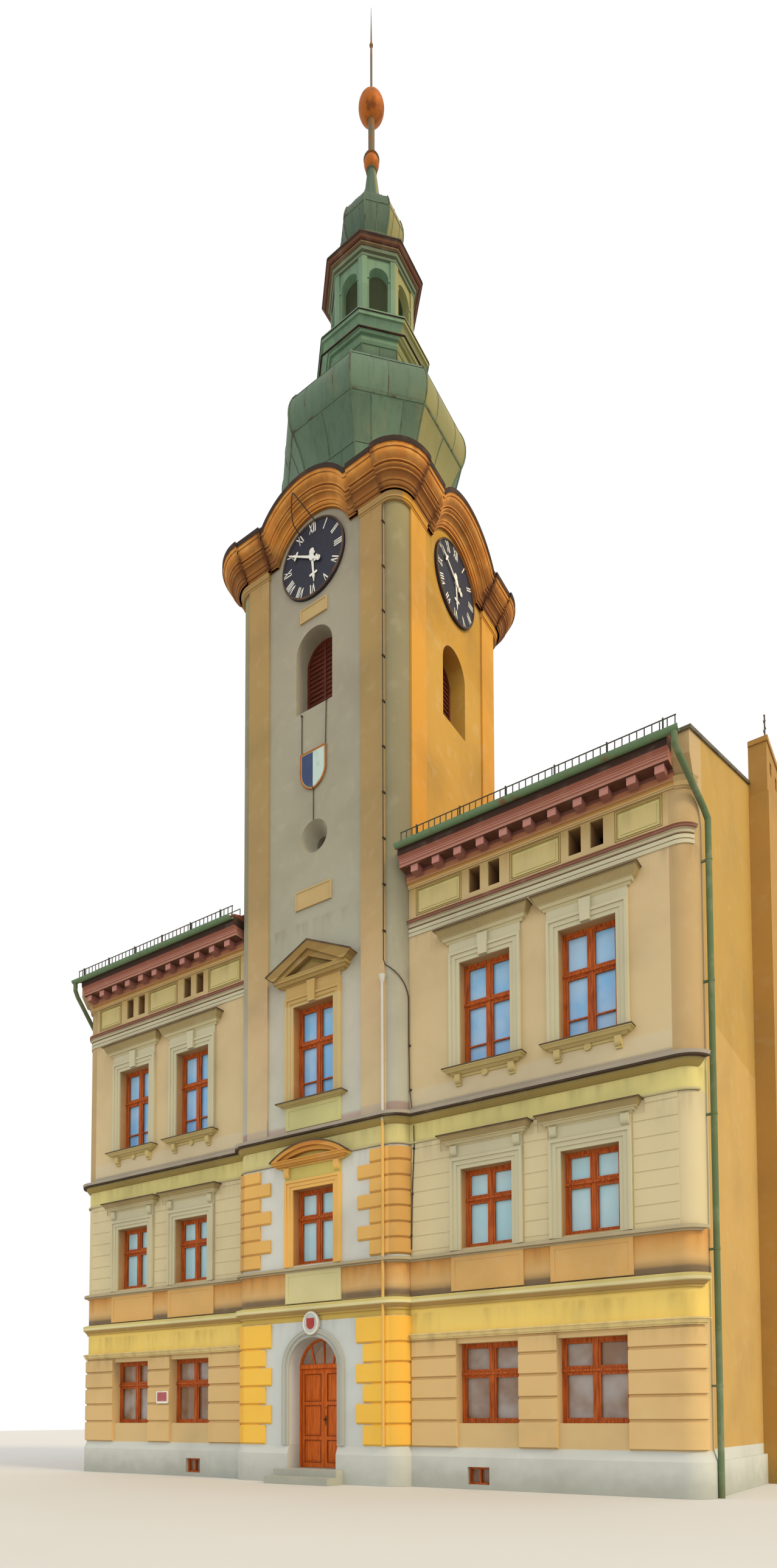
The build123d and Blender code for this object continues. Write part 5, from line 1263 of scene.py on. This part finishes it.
# A door leaf's face, the edges of its panels in x, and their feet and heads
LEAF_FACE = -5.3445
LEAF_PANELS_X = (0.095, 0.5695)
LEAF_PANELS_Z = ((0.44, 0.95), (1.05, 1.75), (1.85, 2.48))
DOOR_HALF = 0.7
DOOR_SPRING = 2.6

# The surround's fillets: distance from the opening and how far they stand out, and their section
FILLETS = ((0.022, 0.04), (0.068, 0.04), (0.115, 0.06), (0.175, 0.06))
FILLET = [(-0.009, -0.01), (-0.009, 0.004), (-0.004, 0.01), (0.004, 0.01), (0.009, 0.004),
          (0.009, -0.01)]

# Radius and height of the door's knob and of the lock's ring
KNOB = [(0.012, -0.004), (0.012, 0.045), (0.024, 0.05), (0.026, 0.066), (0.016, 0.078)]
LOCK = [(0.022, -0.004), (0.022, 0.008), (0.016, 0.012)]


def rectangle(x0, x1, z0, z1):
    """Corners of a rectangle, counted so that a swept section's reach points out of it."""
    return [(x0, z0), (x1, z0), (x1, z1), (x0, z1)]


def bead(shoulder, crown):
    """Section of a bead from the height of its shoulders and of its crown."""
    return [(-0.007, -0.01), (-0.007, shoulder), (0.0, crown), (0.007, shoulder), (0.007, -0.01)]


class TOWNHALL_OT_fence(bpy.types.Operator):
    """Snow fence behind the front gutter: rails, thin bars and stouter posts"""
    bl_idname = "townhall.fence"
    bl_label = "Eaves fence"

    def execute(self, context):
        y, foot, top = FENCE_Y, FENCE_FOOT, FENCE_TOP
        rail = np.array((top - 0.016, foot + 0.02))
        piece = Piece()
        for side in (-1, 1):
            x = side * np.linspace(*FENCE_BARS)
            post = side * np.linspace(*FENCE_POSTS)
            ends = sorted(side * end for end in FENCE_ENDS)
            piece.add(bars(*ends, y - 0.008, y + 0.008, rail, rail + 0.016))
            piece.add(bars(x - 0.009, x + 0.009, y - 0.007, y + 0.007, foot, top))
            piece.add(bars(post - 0.012, post + 0.012, y - 0.02, y + 0.02, foot, top + 0.02))
        iron = sheeted("fence_finish", (62, 66, 52), (88, 64, 44), 0.55, 0.3)
        piece.make("eaves_fence", "green_pipe", iron)
        return {"FINISHED"}


class TOWNHALL_OT_beads(bpy.types.Operator):
    """Beads of the attic and the door, faces of the modillions, fillets and fittings of the door"""
    bl_idname = "townhall.beads"
    bl_label = "Beads and fittings"

    def execute(self, context):
        piece = Piece()
        for x0, x1 in PANELS:
            for low, high in ((x0, x1), (-x1, -x0)):
                for off in (0.012, 0.05):
                    path = rectangle(low - off, high + off, PANEL_FOOT - off, PANEL_HEAD + off)
                    piece.add(moulding(path, bead(0.006, 0.011), WALL, True))
        piece.make("attic_beads", "cream_render", rendered("bead_finish", (140, 122, 62)))
        x = np.linspace(*MODILLIONS)
        x = np.concatenate([-x[::-1], x])
        blocks = bars(x - 0.088, x + 0.088, WALL - 0.336, WALL - 0.1, 13.266, 13.416)
        Piece().add(blocks).make("modillion_blocks", "cornice_rose", material("eaves_finish"))
        brown = timber("door_bead_finish", (120, 50, 14), (92, 38, 10), "z")
        for name, side in (("left", -1), ("right", 1)):
            piece = Piece()
            for low, high in LEAF_PANELS_Z:
                path = rectangle(*sorted(side * x for x in LEAF_PANELS_X), low, high)
                piece.add(moulding(path, bead(0.004, 0.008), LEAF_FACE, True))
            piece.make("door_beads_" + name, "brown_timber", brown, "door_leaf_" + name)
        stone = Piece()
        turn = np.linspace(0, np.pi, 41)
        for off, proud in FILLETS:
            half = DOOR_HALF + off
            curve = np.stack([half * np.cos(turn), DOOR_SPRING + half * np.sin(turn)], -1)
            path = np.vstack([[(half, 0.9)], curve, [(-half, 0.9)]])
            stone.add(moulding(path, FILLET, TOWER - proud))
        stone.make("surround_fillets", "door_stone", material("door_stone_finish"), smooth=0.7)
        brass = sheeted("door_plate_finish", (132, 108, 52), (84, 62, 30), 0.5, 0.6)
        fitting = Piece()
        fitting.add(bars(0.026, 0.07, LEAF_FACE - 0.006, LEAF_FACE + 0.0045, 1.28, 1.52))
        for profile, z in ((KNOB, 1.43), (LOCK, 1.7)):
            fitting.add(lathed(profile, (0.048, LEAF_FACE - 0.0005, z), "y", 16))
        fitting.make("door_fittings", "brown_timber", brass, "door_leaf_right", 0.8)
        return {"FINISHED"}


# Plaques


SHIELD_HALF = 0.357
SHIELD_TOP = 17.12
SHIELD_SHOULDER = 16.62
SHIELD_TIP = 16.22
SHIELD_RIM = 0.026
OVAL_Z = 3.615
OVAL_HALVES = (0.205, 0.245)

# The oval's small shield: half width, head, and the points of the arc to its tip
SMALL_HALF = 0.115
SMALL_TOP = 3.73
SMALL_ARC = ((0.115, 3.56), (0.07, 3.5), (0.0, 3.47))

# Left and right edge, foot and head of the tablet and of its field
TABLET = (-5.45, -5.02, 1.855, 2.175)
TABLET_FIELD = (-5.41, -5.06, 1.915, 2.145)


def shield(half, top, curve):
    """A shield's outline: its head, straight shoulders, and an arc and its mirror image to the tip."""
    return np.vstack([[(-half, top), (half, top)], curve, curve[::-1][1:] * (-1, 1)])


def shield_outline(grow):
    """The tower shield's outline, moved out by a margin."""
    half, tip = SHIELD_HALF + grow, SHIELD_TIP - grow
    side = (half * 0.71, tip + (SHIELD_SHOULDER - tip) * 0.37)
    return shield(half, SHIELD_TOP + grow, arc((half, SHIELD_SHOULDER), side, (0, tip), 10))


def fillet(inner, outer, proud):
    """Section of a flat rim."""
    return [(inner, -0.01), (inner, proud), (outer, proud), (outer, -0.01)]


class TOWNHALL_OT_plaques(bpy.types.Operator):
    """Rims and bare fields of the shield and the oval, and a bare tablet"""
    bl_idname = "townhall.plaques"
    bl_label = "Shield, oval and tablet"

    def execute(self, context):
        white = material("hand_finish")
        face = TOWER - 0.04
        rim = moulding(shield_outline(0.0), fillet(-0.028, 0.0, 0.008), face, True)
        Piece().add(rim).make("shield_rim", "gilding", material("gilding_finish"))
        inner = shield_outline(-SHIELD_RIM)
        right = np.vstack([[(0.0, inner[0, 1])], inner[inner[:, 0] >= -1e-6]])
        blue = enamel("blue_field_finish", (30, 52, 96), (58, 78, 104), 0.45)
        pale = enamel("pale_field_finish", (186, 206, 196), (150, 176, 160), 0.5)
        for name, outline, paint in (("shield_field_left", right[::-1] * (-1, 1), blue),
                                     ("shield_field_right", right, pale)):
            Piece().add(plate(outline, face, 0.004)).make(name, "white_trim", paint)
        circle = np.arange(40) * 2 * np.pi / 40
        oval = np.stack([np.cos(circle), np.sin(circle)], -1) * OVAL_HALVES + (0, OVAL_Z)
        front = WALL - 0.429
        edge = moulding(oval[::-1], fillet(-0.012, 0.016, 0.012), front, True)
        Piece().add(edge).make("oval_rim", "white_trim", white, smooth=0.6)
        grey = enamel("oval_field_finish", (186, 192, 188), (168, 176, 172), 0.5)
        Piece().add(plate(oval, front, 0.005)).make("oval_field", "white_trim", grey)
        red = enamel("red_field_finish", (170, 48, 40), (140, 44, 36), 0.45)
        small = shield(SMALL_HALF, SMALL_TOP, arc(*SMALL_ARC, 6))
        Piece().add(plate(small, front - 0.004, 0.004)).make("oval_shield", "white_trim", red)
        pier = WALL - 0.07
        x0, x1, z0, z1 = TABLET
        Piece().add(bars(x0, x1, pier - 0.02, pier + 0.03, z0, z1)).make("tablet", "white_trim", white)
        x0, x1, z0, z1 = TABLET_FIELD
        faded = enamel("faded_red_finish", (176, 92, 96), (160, 84, 84), 0.6)
        field = bars(x0, x1, pier - 0.024, pier - 0.019, z0, z1)
        Piece().add(field).make("tablet_field", "white_trim", faded)
        return {"FINISHED"}


class TOWNHALL_PT_dressing(bpy.types.Panel):
    """Lists the operators and sizes of the dressing"""
    bl_idname = "TOWNHALL_PT_dressing"
    bl_label = "Town hall"
    bl_space_type = "VIEW_3D"
    bl_region_type = "UI"
    bl_category = "Town hall"

    def draw(self, context):
        for name in ORDER:
            self.layout.operator("townhall." + name)
        for key in TownhallSettings.__annotations__:
            self.layout.prop(context.scene.townhall, key)


ORDER = ("stage", "walls", "trims", "metals", "roof", "copper", "cornice", "clocks", "louvres", "ledges",
         "rods", "fence", "beads", "plaques")
CLASSES = (TownhallSettings, TOWNHALL_OT_stage, TOWNHALL_OT_walls, TOWNHALL_OT_trims, TOWNHALL_OT_metals,
           TOWNHALL_OT_roof, TOWNHALL_OT_copper, TOWNHALL_OT_cornice, TOWNHALL_OT_clocks,
           TOWNHALL_OT_louvres, TOWNHALL_OT_ledges, TOWNHALL_OT_rods, TOWNHALL_OT_fence,
           TOWNHALL_OT_beads, TOWNHALL_OT_plaques, TOWNHALL_PT_dressing)


def register():
    for one in CLASSES:
        bpy.utils.register_class(one)
    bpy.types.Scene.townhall = bpy.props.PointerProperty(type=TownhallSettings)


def unregister():
    del bpy.types.Scene.townhall
    for one in reversed(CLASSES):
        bpy.utils.unregister_class(one)


def main():
    register()
    for name in ORDER:
        getattr(bpy.ops.townhall, name)()


if __name__ == "__main__":
    main()
